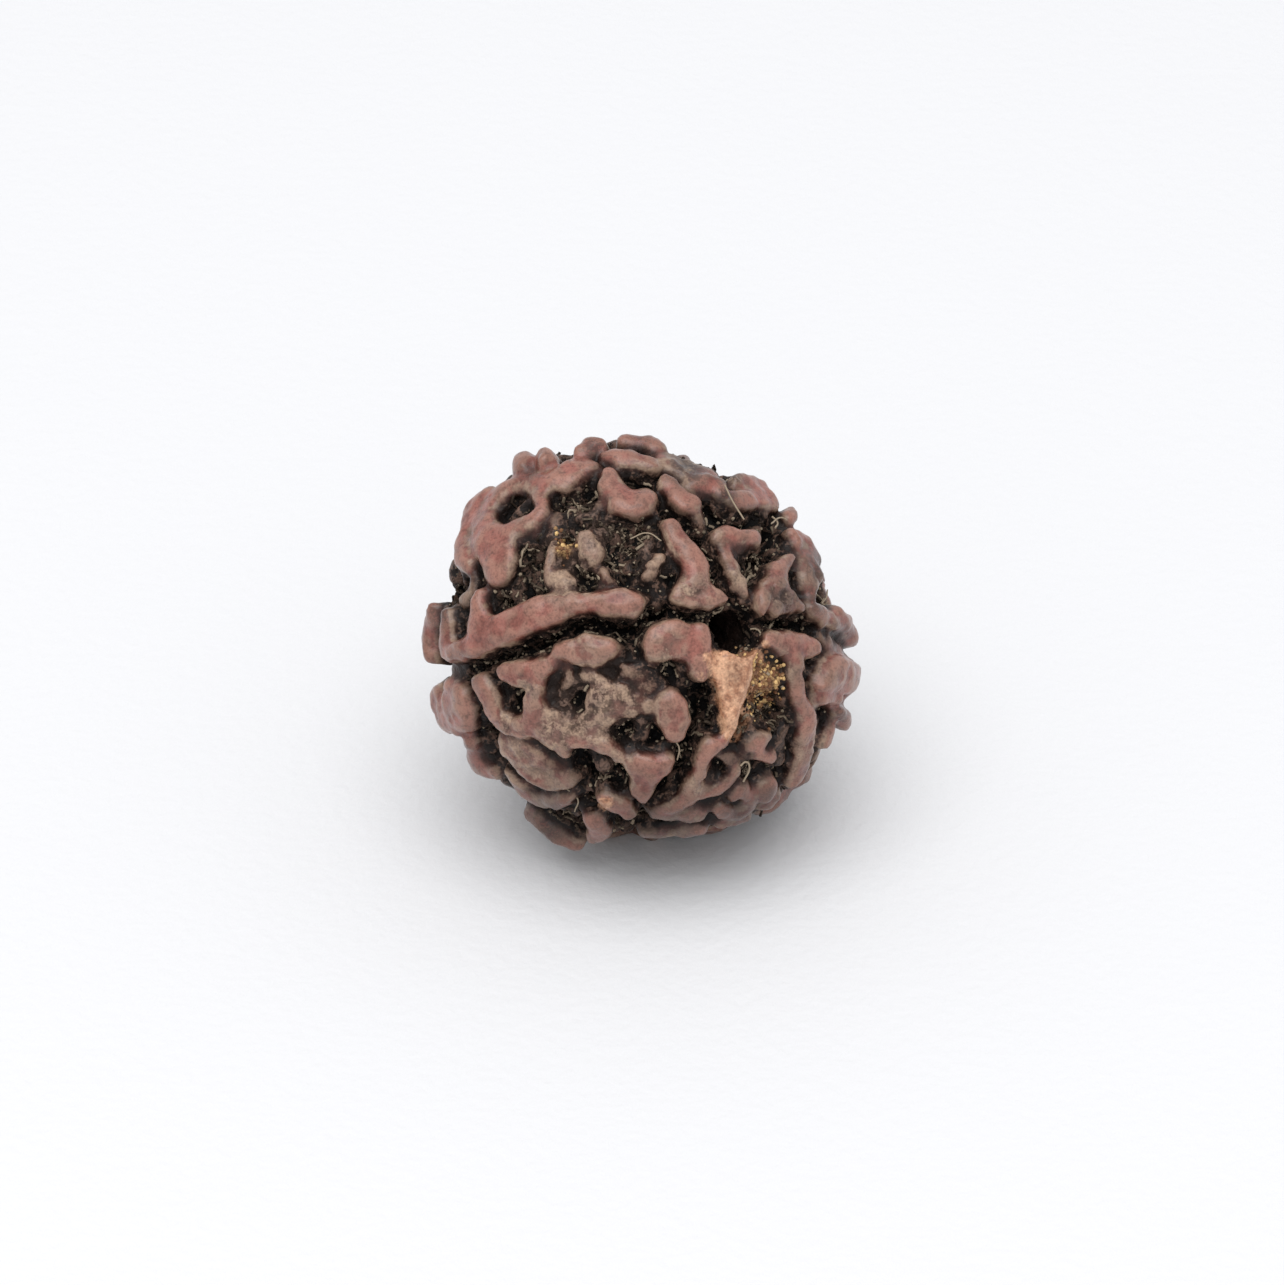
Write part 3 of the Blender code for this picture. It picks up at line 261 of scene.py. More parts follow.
LOWER_LEFT_FACE = (
    (0.05, ((0.8, 0.0, 0.85), (1.7, 0.05, 0.88), (2.5, 0.0, 0.8))),
    (0.05, ((3.0, 0.6, 0.36), (3.05, -0.3, 0.36))),
    (0.05, ((2.7, -0.2, 0.62), (2.9, -0.9, 0.5), (2.9, -1.6, 0.42))),
    (0.1, ((-4.1, -0.45, 0.5), (-3.3, -0.35, 0.6), (-2.4, -0.3, 0.62), (-1.8, -0.3, 0.58))),
    (0.05, ((-6.9, -1.5, 0.5), (-6.1, -1.6, 0.6), (-5.3, -1.4, 0.5), (-4.6, -1.0, 0.34))),
    (0.05, ((-8.3, -2.1, 0.45), (-7.8, -2.6, 0.54), (-7.5, -3.3, 0.54), (-7.05, -4.05, 0.5),
            (-6.3, -4.45, 0.44), (-5.65, -4.0, 0.48), (-5.4, -3.2, 0.52), (-5.35, -2.3, 0.46))),
    (0.25, ((-9.9, -2.8, 0.9), (-9.6, -3.8, 0.9))),
    (0.25, ((-9.5, -2.5, 0.8), (-9.3, -3.9, 0.8))),
    (0.25, ((-9.1, -2.7, 0.75), (-8.9, -3.9, 0.75))),
    (-0.5, ((-9.9, -1.5, 0.4), (-9.2, -1.4, 0.4))),
    (0.1, ((-8.5, -5.0, 0.36), (-8.5, -5.8, 0.42), (-8.2, -6.4, 0.46), (-7.5, -6.6, 0.42))),
    (-0.05, ((-6.0, -4.4, 0.44), (-5.0, -4.6, 0.5), (-4.3, -5.1, 0.48), (-3.8, -5.7, 0.32))),
    (-0.1, ((-5.2, -3.5, 0.44), (-4.4, -4.1, 0.5), (-3.6, -4.5, 0.44), (-2.7, -4.8, 0.56))),
    (-0.05, ((-3.4, -5.2, 0.36), (-2.5, -4.9, 0.4), (-1.7, -5.35, 0.44), (-1.2, -5.8, 0.36),
             (-0.6, -6.0, 0.34))),
    (-0.3, ((-2.9, -3.9, 0.4), (-3.1, -4.5, 0.34), (-2.9, -5.0, 0.3))),
    (-0.25, ((-2.2, -4.2, 0.7), (-2.0, -3.3, 0.9), (-2.0, -2.4, 0.7))),
    (-0.35, ((-3.0, -1.7, 0.3), (-2.2, -1.8, 0.3))),
    (-0.3, ((-1.5, -2.8, 0.7), (-0.6, -3.2, 0.72), (0.1, -3.4, 0.5))),
    (-0.4, ((-3.85, -1.5, 0.26), (-3.95, -2.2, 0.28), (-3.95, -2.8, 0.24))),
    (-0.5, ((-0.8, -1.4, 0.5), (0.0, -1.9, 0.6), (0.8, -2.2, 0.46))),
    (-0.2, ((-6.9, -5.4, 0.8), (-5.9, -6.0, 1.1), (-4.8, -6.7, 0.95), (-3.8, -7.1, 0.6))),
    (0.0, ((-6.9, -5.6, 0.34), (-6.0, -6.5, 0.4), (-5.0, -7.1, 0.36), (-3.9, -7.3, 0.3))),
    (-0.15, ((-6.7, -7.0, 0.6), (-6.0, -7.7, 0.7), (-5.2, -8.1, 0.5), (-4.2, -8.1, 0.4),
             (-3.5, -7.9, 0.3))),
    (0.2, ((-5.8, -8.7, 0.4), (-5.1, -9.35, 0.46), (-4.2, -9.75, 0.45), (-3.4, -9.95, 0.42))),
    (0.15, ((-2.5, -8.9, 0.46), (-2.2, -9.4, 0.58), (-2.4, -9.8, 0.52))),
    (0.1, ((-2.0, -7.8, 0.4), (-1.4, -8.2, 0.52), (-0.7, -8.6, 0.48))),
    (0.1, ((-0.5, -6.1, 0.44), (0.4, -6.35, 0.7), (1.2, -6.1, 0.44))),
    (0.1, ((0.4, -6.5, 0.66), (0.15, -7.3, 0.52), (0.05, -7.9, 0.34))),
    (0.05, ((1.5, -3.05, 0.68), (1.6, -3.9, 0.76), (1.75, -4.65, 0.42))),
    (-0.8, ((2.0, -1.5, 0.3), (2.4, -2.2, 0.36))),
)
FRONT_RIDGES = UPPER_LEFT_FACE + TOP_FACE + RIGHT_FACE + LOWER_RIGHT_FACE + LOWER_LEFT_FACE

# The floor of each cleft on the front, from the mouth of the bore outwards
FRONT_CLEFTS = (
    ((3.2, 1.5), (1.5, 1.5), (0.3, 1.2), (-1.0, 0.85), (-2.5, 0.9), (-4.0, 0.6), (-5.5, 0.1), (-7.0, -0.5),
     (-8.2, -1.1), (-9.5, -1.5)),
    ((3.4, -1.7), (3.3, -2.8), (3.2, -3.9), (2.6, -5.0), (2.2, -6.2), (1.4, -7.3), (0.6, -8.1),
     (-0.2, -9.0)),
    ((6.0, 0.9), (7.2, 1.0), (8.3, 0.9), (9.3, 0.1), (10.0, -0.4)),
    ((5.8, 3.2), (6.2, 3.9), (6.8, 4.9), (7.0, 5.6), (7.1, 6.4)),
    ((4.6, 2.7), (4.0, 3.5), (3.4, 4.6), (2.7, 5.8), (1.7, 6.8), (0.9, 7.8), (0.9, 8.6)),
)


def front_frame():
    """Columns are the front's right, up and towards-the-eye directions, in the model's axes."""
    rise, run = math.sin(FRONT_ELEVATION), math.cos(FRONT_ELEVATION)
    return Matrix(((1, 0, 0), (0, rise, -run), (0, run, rise)))


def ovoid_form():
    """The matrix whose quadratic form is 1 on the ovoid that the ridge crests follow."""
    pole = np.array(POLE)
    long_axis = np.array((math.cos(LONG_AXIS_ANGLE), math.sin(LONG_AXIS_ANGLE), 0.0))
    long_axis -= pole * (long_axis @ pole)
    long_axis /= np.linalg.norm(long_axis)
    short_axis = np.cross(pole, long_axis)
    sizes = ((long_axis, LONG_RADIUS), (short_axis, SHORT_RADIUS), (pole, POLAR_RADIUS))
    return sum(np.outer(axis, axis) / size**2 for axis, size in sizes)


FORM = ovoid_form()


def on_ovoid(directions):
    """Points of the ovoid in these directions from its centre."""
    size = 1 / np.sqrt(np.einsum("ni,ij,nj->n", directions, FORM, directions))
    return directions * size[:, None]


def wrapped(x, y):
    """The point of the ovoid that shows at (x, y) from the front, or the nearest at its edge."""
    for shrink in np.linspace(1, 0.5, 101):
        px, py = x * shrink, y * shrink
        a = FORM[2, 2]
        b = FORM[0, 2] * px + FORM[1, 2] * py
        c = FORM[0, 0] * px**2 + 2 * FORM[0, 1] * px * py + FORM[1, 1] * py**2 - 1
        if b * b - a * c > 0:
            return np.array((px, py, (-b + math.sqrt(b * b - a * c)) / a))
    raise ValueError("a front point lies far outside the stone")


def flowing(corners, step):
    """Closely spaced rows along a smooth line through these rows of x, y, z, half width."""
    corners = np.array(corners, float)
    first, last = 2 * corners[0] - corners[1], 2 * corners[-1] - corners[-2]
    padded = np.vstack((first, corners, last))
    rows = []
    for a, b, c, d in zip(padded, padded[1:], padded[2:], padded[3:]):
        pieces = max(1, round(np.linalg.norm((c - b)[:3]) / step))
        for t in np.arange(pieces) / pieces:
            curve = 2 * b + (c - a) * t + (2 * a - 5 * b + 4 * c - d) * t**2
            rows.append((curve + (3 * b - a - 3 * c + d) * t**3) / 2)
    rows.append(corners[-1])
    return np.array(rows)


class Strokes:
    """Lines on the ovoid, each with a half width along it and a crest height."""

    CELL = 2.5
    REACH = 4.5

    def __init__(self):
        self.starts, self.ends, self.tops = [], [], []

    def add(self, corners, top=0.0):
        rows = flowing(corners, STROKE_STEP)
        self.starts.extend(rows[:-1])
        self.ends.extend(rows[1:])
        self.tops.extend([top] * (len(rows) - 1))

    def extend(self, other):
        self.starts.extend(other.starts)
        self.ends.extend(other.ends)
        self.tops.extend(other.tops)

    def measure(self, points, blend=BLEND):
        """Columns for each point: distance outside the strokes, top, half width, way out (x, y, z)."""
        starts, ends, tops = np.array(self.starts), np.array(self.ends), np.array(self.tops)
        found = np.empty((len(points), 6))
        cells = np.unique(np.floor(points / self.CELL), axis=0, return_inverse=True)[1].ravel()
        order = np.argsort(cells, kind="stable")
        for rows in np.split(order, np.flatnonzero(np.diff(cells[order])) + 1):
            near = np.linalg.norm(starts[:, :3] - points[rows].mean(0), axis=1)
            use = near < max(self.REACH, near.min() + self.CELL)
            found[rows] = self.blended(points[rows], starts[use], ends[use], tops[use], blend)
        return found

    @staticmethod
    def blended(points, starts, ends, tops, blend):
        """The columns of measure, with strokes that meet run smoothly into each other."""
        along = ends - starts
        away = points[:, None] - starts[:, :3]
        t = np.clip((away * along[:, :3]).sum(2) / (along[:, :3]**2).sum(1), 0, 1)
        away -= t[..., None] * along[:, :3]
        reach = np.sqrt((away**2).sum(2)) + 1e-6
        width = starts[:, 3] + t * along[:, 3]
        outside = reach - width
        nearest = outside.min(1, keepdims=True)
        share = np.exp((nearest - outside) / blend)
        total = share.sum(1, keepdims=True)
        share /= total
        outward = (away / reach[..., None] * share[..., None]).sum(1)
        distance = nearest - blend * np.log(total)
        return np.column_stack((distance, share @ tops, (share * width).sum(1), outward))


def front_strokes():
    """The ridges that the front table lists, wrapped onto the ovoid."""
    ridges = Strokes()
    for top, line in FRONT_RIDGES:
        ridges.add([(*wrapped(x, y), width) for x, y, width in line], top)
    return ridges


def cleft_strokes():
    """The floors of the clefts, from the front table on to the far mouth of the bore."""
    clefts = Strokes()
    pole = np.array(POLE)
    for line in FRONT_CLEFTS:
        corners = [wrapped(x, y) for x, y in line]
        last = corners[-1] / np.linalg.norm(corners[-1])
        side = np.cross(pole, last)
        side /= np.linalg.norm(side)
        out = np.cross(side, pole)
        for angle in np.arange(math.acos(last @ pole) + CLEFT_STEP, math.pi - CLEFT_STEP, CLEFT_STEP):
            sway = CLEFT_SWAY * math.sin(CLEFT_TURNS * angle + CLEFT_PHASE * last[0])
            way = pole * math.cos(angle) + out * math.sin(angle) + side * sway
            corners.append(on_ovoid(way[None])[0])
        clefts.add([(*corner, 0.0) for corner in corners])
    return clefts


def even_points(count):
    """Points spread evenly over the ovoid."""
    k = np.arange(count) + 0.5
    z = 1 - 2 * k / count
    turn = math.pi * (1 + math.sqrt(5)) * k
    ring = np.sqrt(1 - z * z)
    return on_ovoid(np.column_stack((ring * np.cos(turn), ring * np.sin(turn), z)))


def spaced(points, spacing, draw):
    """Some of the points, picked in random order, none nearer than the spacing to another."""
    kept = points[:0]
    for point in points[draw.permutation(len(points))]:
        if not len(kept) or np.linalg.norm(kept - point, axis=1).min() > spacing:
            kept = np.vstack((kept, point))
    return kept


def linked(places, reach, most, clefts, draw):
    """Pairs of neighbouring places, nearest first, that no cleft parts, and how often each is used."""
    gaps = np.linalg.norm(places[:, None] - places, axis=2)
    pairs = np.argwhere(np.triu(gaps < reach, 1))
    pairs = pairs[np.argsort(gaps[tuple(pairs.T)])]
    middles = places[pairs].mean(axis=1)
    pairs = pairs[clefts.measure(middles)[:, 0] > JOIN_CLEFT_CLEAR]
    used = np.zeros(len(places), int)
    taken = places[:0]
    kept = []
    for pair in pairs:
        middle = places[pair].mean(axis=0)
        crowded = len(taken) and np.linalg.norm(taken - middle, axis=1).min() < JOIN_ROOM * reach
        if not crowded and used[pair].max() < most and draw.random() < JOIN_CHANCE:
            used[pair] += 1
            taken = np.vstack((taken, middle))
            kept.append(pair)
    return kept, used


def rim_drop(points):
    """How much lower the net behind the front lies near the front's rim, mm."""
    return HIDDEN_RIM_DROP * smooth((points[:, 2] - HIDDEN_RIM) / HIDDEN_RIM_REACH)


def hidden_strokes(front, clefts):
    """A net of the same kind where the front table leaves the stone bare, lower near the rim."""
    draw = np.random.default_rng(HIDDEN_DRAW)
    places = even_points(HIDDEN_CHOICE)
    bare = front.measure(places)[:, 0] > RIDGE_CLEAR
    bare &= clefts.measure(places)[:, 0] > CLEFT_CLEAR
    bare &= places[:, 2] < HIDDEN_FROM
    places = spaced(places[bare], HIDDEN_SPACING, draw)
    pairs, used = linked(places, HIDDEN_JOIN, HIDDEN_MOST, clefts, draw)
    widths = draw.uniform(*HIDDEN_WIDTHS, len(places))
    drop = rim_drop(places)
    ridges = Strokes()
    for i, j in pairs:
        middle = (places[i] + places[j]) / 2 + draw.uniform(-HIDDEN_SWAY, HIDDEN_SWAY, 3)
        waist = draw.uniform(*HIDDEN_WAISTS)
        corners = ((*places[i], widths[i]), (*middle, waist), (*places[j], widths[j]))
        ridges.add(corners, draw.uniform(*HIDDEN_TOPS) - drop[i])
    for i in np.flatnonzero(used == 0):
        half = draw.uniform(-HIDDEN_SPACING, HIDDEN_SPACING, 3) * LONE_HALF
        corners = ((*(places[i] - half), widths[i]), (*(places[i] + half), widths[i]))
        ridges.add(corners, draw.uniform(*HIDDEN_TOPS) - drop[i])
    return ridges


def hump_strokes(clefts):
    """Low humps and bridges that rise from the floor between the ridges."""
    draw = np.random.default_rng(HUMP_DRAW)
    places = even_points(HUMP_CHOICE)
    places = spaced(places[clefts.measure(places)[:, 0] > HUMP_CLEFT_CLEAR], HUMP_SPACING, draw)
    humps = Strokes()
    for i, j in linked(places, HUMP_JOIN, HUMP_MOST, clefts, draw)[0]:
        width = draw.uniform(*HUMP_WIDTHS)
        middle = (places[i] + places[j]) / 2 + draw.uniform(-HUMP_SWAY, HUMP_SWAY, 3)
        corners = ((*places[i], width), (*middle, HUMP_WAIST * width), (*places[j], width))
        humps.add(corners, draw.uniform(*HUMP_TOPS))
    return humps


def smooth(t):
    t = np.clip(t, 0, 1)
    return t * t * (3 - 2 * t)


def noise_shift(part, turn):
    return part * NOISE_STEP + turn * Vector((1, -1, 0))


def wavy(points, waves, part):
    """Smooth noise, one height for each point."""
    total = np.zeros(len(points))
    for turn, (size, height) in enumerate(waves):
        shift = noise_shift(part, turn)
        total += height * np.array([noise.noise(Vector(p) / size + shift) for p in points])
    return total


def wavy_shift(points, waves, part):
    """Smooth noise, one vector for each point, the same in every run."""
    noise.seed_set(NOISE_DRAW)
    total = np.zeros((len(points), 3))
    for turn, (size, height) in enumerate(waves):
        shift = noise_shift(part, turn)
        total += height * np.array([noise.noise_vector(Vector(p) / size + shift) for p in points])
    return total


def bulge(directions):
    """How far the stone stands out past the ovoid in these directions."""
    total = np.zeros(len(directions))
    for bearing, reach, height in BULGES:
        middle = np.array((math.cos(math.radians(bearing)), math.sin(math.radians(bearing)), 0.0))
        angle = np.degrees(np.arccos(np.clip(directions @ middle, -1, 1)))
        total += height * np.exp(-((angle / reach) ** 2))
    return total


def filled(points):
    """How far the floor between the ridges is filled up, mm."""
    total = np.zeros(len(points))
    for x, y, reach, rise in FLOOR_FILLS:
        away = np.linalg.norm(points - wrapped(x, y), axis=1)
        total = np.maximum(total, rise * np.exp(-((away / reach) ** 2)))
    for x, y, radius in FLOOR_HOLES:
        away = np.linalg.norm(points - wrapped(x, y), axis=1)
        total *= smooth((away - radius) / FILL_EDGE)
    behind = smooth((HIDDEN_FROM - points[:, 2]) / HIDDEN_RIM_REACH)
    patches = smooth(wavy(points, FILL_WAVES, FILL_PART))
    return np.maximum(total, HIDDEN_RISE * behind * patches)


def raised(columns, floor, crest, reach):
    """Depth below the ovoid across strokes: rounded over the crest, then down a wall."""
    outside, width = columns[:, 0], columns[:, 2]
    lean = np.clip(outside / np.minimum(EDGE_ROUND, width) + 1, 0, 1)
    brow = EDGE_DROP * (1 - np.sqrt(1 - lean**2)) - crest
    drop = np.maximum(floor - brow, LEAST_DROP)
    return brow + drop * smooth(outside / reach)


def tucked(columns, directions):
    """How far the points beside a ridge move under it, which makes its wall steep."""
    outside, width, outward = columns[:, 0], columns[:, 2], columns[:, 3:]
    down = np.clip(outside / WALL_REACH, 0, 1)
    neck = np.minimum(UNDERCUT, MOST_UNDERCUT * width) * np.sin(math.pi * down)
    inward = WALL_TUCK * np.clip(outside, 0, WALL_REACH) + neck
    inward *= 1 - smooth((outside - WALL_REACH) / SKIRT_REACH)
    lateral = outward - directions * (outward * directions).sum(1, keepdims=True)
    return lateral * inward[:, None]


def stone_surface(directions, form):
    """The stone's points over these directions from its centre, as seen from its front."""
    clefts = cleft_strokes()
    ridges = front_strokes()
    ridges.extend(hidden_strokes(ridges, clefts))
    humps = hump_strokes(clefts)
    base = on_ovoid(directions)
    bent = base + wavy_shift(base, BENDS, BEND_PART)
    over_ridges = ridges.measure(bent)
    over_ridges[:, 0] -= RIDGE_SPREAD + wavy(base, EDGE_WAVES, EDGE_PART)
    over_humps = humps.measure(bent)
    groove = np.exp(-((clefts.measure(bent)[:, 0] / GROOVE_REACH) ** 2))
    floor = form.net_depth / MM + wavy(base, FLOOR_WAVES, FLOOR_PART) + form.cleft_depth / MM * groove
    floor -= filled(base) * (1 - groove)
    hump_tops = over_humps[:, 1] + wavy(base, HUMP_WAVES, HUMP_PART)
    floor = raised(over_humps, floor, hump_tops, HUMP_REACH)
    ridge_tops = over_ridges[:, 1] + wavy(base, CREST_WAVES, CREST_PART)
    depth = raised(over_ridges, floor, ridge_tops, WALL_REACH)
    height = bulge(directions) - depth
    points = base + directions * height[:, None] - tucked(over_ridges, directions)
    return points + wavy_shift(points, SKIN_WAVES, SKIN_PART)


# How finely the stone is made: ball steps, voxel in mm, triangles
STONE_DETAIL = ((8, 0.1, 195000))

# The tools that cut the bore and the flats: reach in mm, sides, and how near points are one, in metres
CUTTER_REACH = 14
CUTTER_SIDES = 48
CUTTER_MERGE = 0.00001

# The stage: the camera's sensor and the width that it takes in at the stone's middle, mm, where the lamp
# hangs, in metres, and the squares along each side of the floor
SENSOR_WIDTH = 36
FRAME_WIDTH = 64.2
LAMP_PLACE = Vector((-0.05, -0.2, 0.6))
FLOOR_SQUARES = 8

# Fine relief over the whole stone, more of it down in the pits, and the crust's, as waves in mm
GRAIN_WAVES = ((0.6, 0.04), (0.3, 0.025))
PIT_GRAIN_WAVES = ((0.8, 0.2), (0.42, 0.12))
PIT_START = 0.35
PIT_FULL = 0.8
CRUST_GRAIN_WAVES = ((0.9, 0.2), (0.45, 0.15), (0.26, 0.08))

# How hollow the surface is: how many edges away it is compared, how far in counts as 1, mm, and how
# often the result is smoothed
HOLLOW_REACH = 3
HOLLOW_FULL = 0.1
HOLLOW_SMOOTHING = 2

# Where marks on the surface start, and how much further they are full, mm: towards the back and just
# behind the rim, in the pits and past them, in the clefts, under the golden grains, down the bore, and
# above the lowest part, which stays clear
BEHIND = (0, 3)
BEHIND_RIM = (0, 2)
PIT_DEPTH = (0.65, 0.5)
PAST_PIT_DEPTH = (3.0, 0.6)
CLEFT_DEPTH = (1.9, 0.4)
GOLD_DEPTH = (0.35, 0.3)
BORE_DEPTH = (1.4, 1.2)
CLEAR_HEIGHT = (1.1, 0.6)

# How far from the bore's axis its mark reaches, and the edge over which it fades, mm
BORE_REACH = MOUTH_RADIUS + 0.25
BORE_FADE = 0.3

# Patches of about 3 mm, how weathered or soiled the hidden side is in them, and how thickly pulp and
# soil lie there, all over and in the clefts
PATCH_WAVES = ((3.1, 1.0),)
PATCH_CONTRAST = 2.5
HIDDEN_WEATHERED = 0.75
HIDDEN_SOILED = 0.5
PULP_ALL_OVER = 0.06
HIDDEN_PULP = 0.14
SOIL_ALL_OVER = 0.4
CLEFT_BARENESS = 0.4

# The finish by depth below the ridge tops, mm: where each layer starts and is full, then fades and ends
# Painted shade: from this depth the ridges' sides darken
SIDE_SHADE_DEPTH = (0.04, 0.4)
RIM_BAND = (0.06, 0.18, 0.28, 0.46)
DRY_RIM_BAND = (0.02, 0.14, 0.4, 0.65)
# Painted shade: the band at the ridges' feet that is left darker
FOOT_SHADE_BAND = (0.26, 0.42, 0.7, 1.1)
SLOPE_DEPTH = (0.36, 0.62)
FLOOR_DEPTH = (0.85, 1.3)
AMBER_END = (1.2, 1.7)
BARE_END = (1.2, 1.9)
# Painted shade: from this depth the colour darkens down into the pits
DEEP_SHADE_END = (0.35, 1.1)
SOIL_DEPTH = (0.5, 1.0)
COAT_END = (0.15, 0.45)

# How much light dry wood, soil and pulp throw back without polish
DULL_SHINE = 0.18

# What is strewn in the pits: the draw that each kind comes from, the least and most of its size, the
# draws of size and tone, the fibres' joints, sides and lean in radians, and the waves in mm that make it
# uneven
FIBRE_DRAW = 3
SCRAP_DRAW = 8
CRUMB_DRAW = 4
GOLD_DRAW = 5
STREWN_SIZES = (0.4, 1.25)
SIZE_DRAW = 3
TONE_DRAW = 6
FIBRE_JOINTS = 6
FIBRE_SIDES = 3
FIBRE_LEAN = (1.15, 1.9)
FIBRE_WAVE = 0.5
CRUMB_WAVE = 0.2

# Soft spots as they are seen from the front: (x, y, reach in mm, strength). Behind the rim they fade out
# over this many mm
SPOT_FADE = 3
WEATHERED_SPOTS = (
    (-2.4, -3.0, 2.3, 1.0), (-4.2, -4.2, 1.4, 0.9), (-6.6, -4.0, 0.9, 0.7), (-1.4, -5.7, 0.8, 0.6),
    (-5.4, -2.4, 0.9, 0.7), (-6.0, -6.0, 1.4, 0.6), (-0.8, -2.9, 1.2, 0.9), (1.3, -0.2, 1.1, 0.6),
    (1.6, -3.8, 0.8, 0.5), (6.9, 2.2, 1.0, 0.9), (4.9, 3.4, 0.7, 0.9), (2.8, 2.5, 1.0, 0.8),
    (2.8, -6.8, 1.0, 0.5), (8.7, 3.2, 0.8, 0.7), (9.9, -1.8, 0.8, 0.5), (7.4, -1.4, 1.0, 0.6),
    (-9.6, -3.3, 1.0, 0.4), (-2.8, 6.8, 0.9, 0.7), (0.6, 3.9, 0.8, 0.7), (-3.3, 3.5, 1.5, 1.0),
    (-4.4, 4.8, 0.6, 0.8), (4.6, 8.1, 0.7, 0.6), (-4.6, -9.2, 0.9, 0.4), (8.3, -5.2, 1.2, 0.5),
    (-2.8, -0.4, 1.1, 0.5), (9.5, 1.0, 0.6, 0.4), (2.2, 9.0, 0.9, 0.5), (1.6, -9.2, 0.8, 0.4),
    (-2.2, 5.0, 1.3, 0.85), (-0.3, 4.7, 1.0, 0.6),
)
BARE_SPOTS = (
    (4.6, -1.5, 1.3, 1.2), (4.6, -2.6, 1.1, 1.2), (4.5, -3.6, 0.85, 1.1), (4.4, -4.4, 0.6, 1.0),
    (3.6, -0.9, 0.6, 1.0), (5.6, -0.7, 0.5, 0.9), (3.2, -0.7, 0.4, 0.7), (5.9, -2.1, 0.8, 0.6),
    (6.1, -0.1, 0.35, 0.7), (2.9, -1.7, 0.4, 0.5), (-1.8, -7.9, 0.5, 0.8),
)
PULP_SPOTS = (
    (-2.2, 4.8, 2.0, 1.0), (0.0, 5.2, 1.3, 1.0), (-4.9, 4.2, 1.3, 0.9), (6.2, -3.8, 1.0, 0.7),
    (5.3, -6.6, 0.9, 0.8), (-3.4, -8.4, 1.0, 0.8), (-6.5, 2.1, 0.8, 0.6), (-9.0, 2.2, 0.7, 0.6),
    (9.2, 0.8, 1.0, 0.6), (-6.2, 6.9, 0.7, 0.5), (-0.9, 6.3, 0.9, 1.0), (3.2, -4.2, 0.9, 0.4),
    (-1.6, -6.8, 0.8, 0.5), (8.4, 3.4, 0.9, 0.5),
)
SOILED_SPOTS = (
    (2.3, 8.9, 1.2, 1.0), (4.1, 7.0, 0.7, 0.9), (4.3, 8.3, 0.7, 0.8), (3.5, 6.7, 0.6, 0.8),
    (8.9, 4.0, 1.1, 0.7), (-5.6, 8.5, 0.5, 0.7), (-2.4, 9.7, 0.6, 0.7), (-9.9, 1.6, 0.9, 0.6),
    (8.5, 2.1, 0.9, 0.7), (9.9, -3.6, 0.8, 0.6), (0.0, 10.2, 0.8, 0.5), (-4.4, -9.0, 1.2, 0.6),
    (2.0, -9.2, 1.6, 0.5), (6.4, -7.6, 0.8, 0.5), (-6.6, 6.4, 0.6, 0.6), (-9.2, -5.2, 0.8, 0.6),
    (10.0, 0.6, 0.8, 0.5), (-8.6, -1.4, 0.7, 0.7), (4.6, -8.4, 0.8, 0.5),
)
GOLD_SPOTS = ((6.0, -1.7, 0.8, 1.0), (5.8, -2.6, 0.7, 0.9), (5.5, -1.0, 0.4, 0.5), (-3.8, 4.6, 0.5, 0.75))
# Painted shade: these spots darken the stone's colour, most at its underside and on its right side; the one
# on the tongue's top gives its wood a browner tint
SHADE_AND_TINT_SPOTS = (
    (0.0, -9.8, 3.0, 1.0), (-4.6, -8.8, 2.2, 1.0), (5.0, -8.6, 2.2, 1.0), (-0.6, 7.0, 1.0, 0.2),
    (6.9, 2.4, 1.2, 0.7), (7.8, -1.6, 1.2, 0.5), (8.3, 3.8, 1.0, 0.4), (-8.3, -5.8, 1.0, 0.5),
    (-7.6, -6.4, 0.8, 0.5), (-10.3, 0.4, 0.6, 0.3), (8.3, -6.4, 1.0, 0.5), (4.6, -1.5, 0.6, 0.8),
)

# Long hairs that lie over the pits: the points of each seen from the front, and its height and radius
HAIRS = (
    (0.35, 0.045, ((3.95, 7.5), (4.3, 6.75), (4.85, 5.85))),
    (0.2, 0.05, ((6.3, 6.1), (6.55, 5.85), (6.45, 5.55))),
    (0.3, 0.04, ((6.2, 5.7), (6.7, 6.0), (6.95, 5.9))),
    (-0.4, 0.04, ((1.6, -4.9), (1.9, -5.4), (1.8, -6.0))),
    (-0.2, 0.05, ((4.95, -6.2), (5.2, -6.0), (5.4, -6.3), (5.1, -7.0))),
    (-0.3, 0.035, ((9.2, 2.0), (9.45, 2.35), (9.5, 2.7))),
    (-0.5, 0.04, ((-3.9, -7.6), (-3.4, -8.0), (-3.5, -8.8))),
    (-0.6, 0.035, ((-0.6, 5.4), (0.3, 5.7), (1.0, 5.3))),
)


def linear(red, green, blue):
    """A colour given as it shows on screen, 0 to 255, as the light that it stands for."""
    def channel(value):
        value /= 255
        return value / 12.92 if value <= 0.04045 else ((value + 0.055) / 1.055) ** 2.4
    return channel(red), channel(green), channel(blue), 1.0


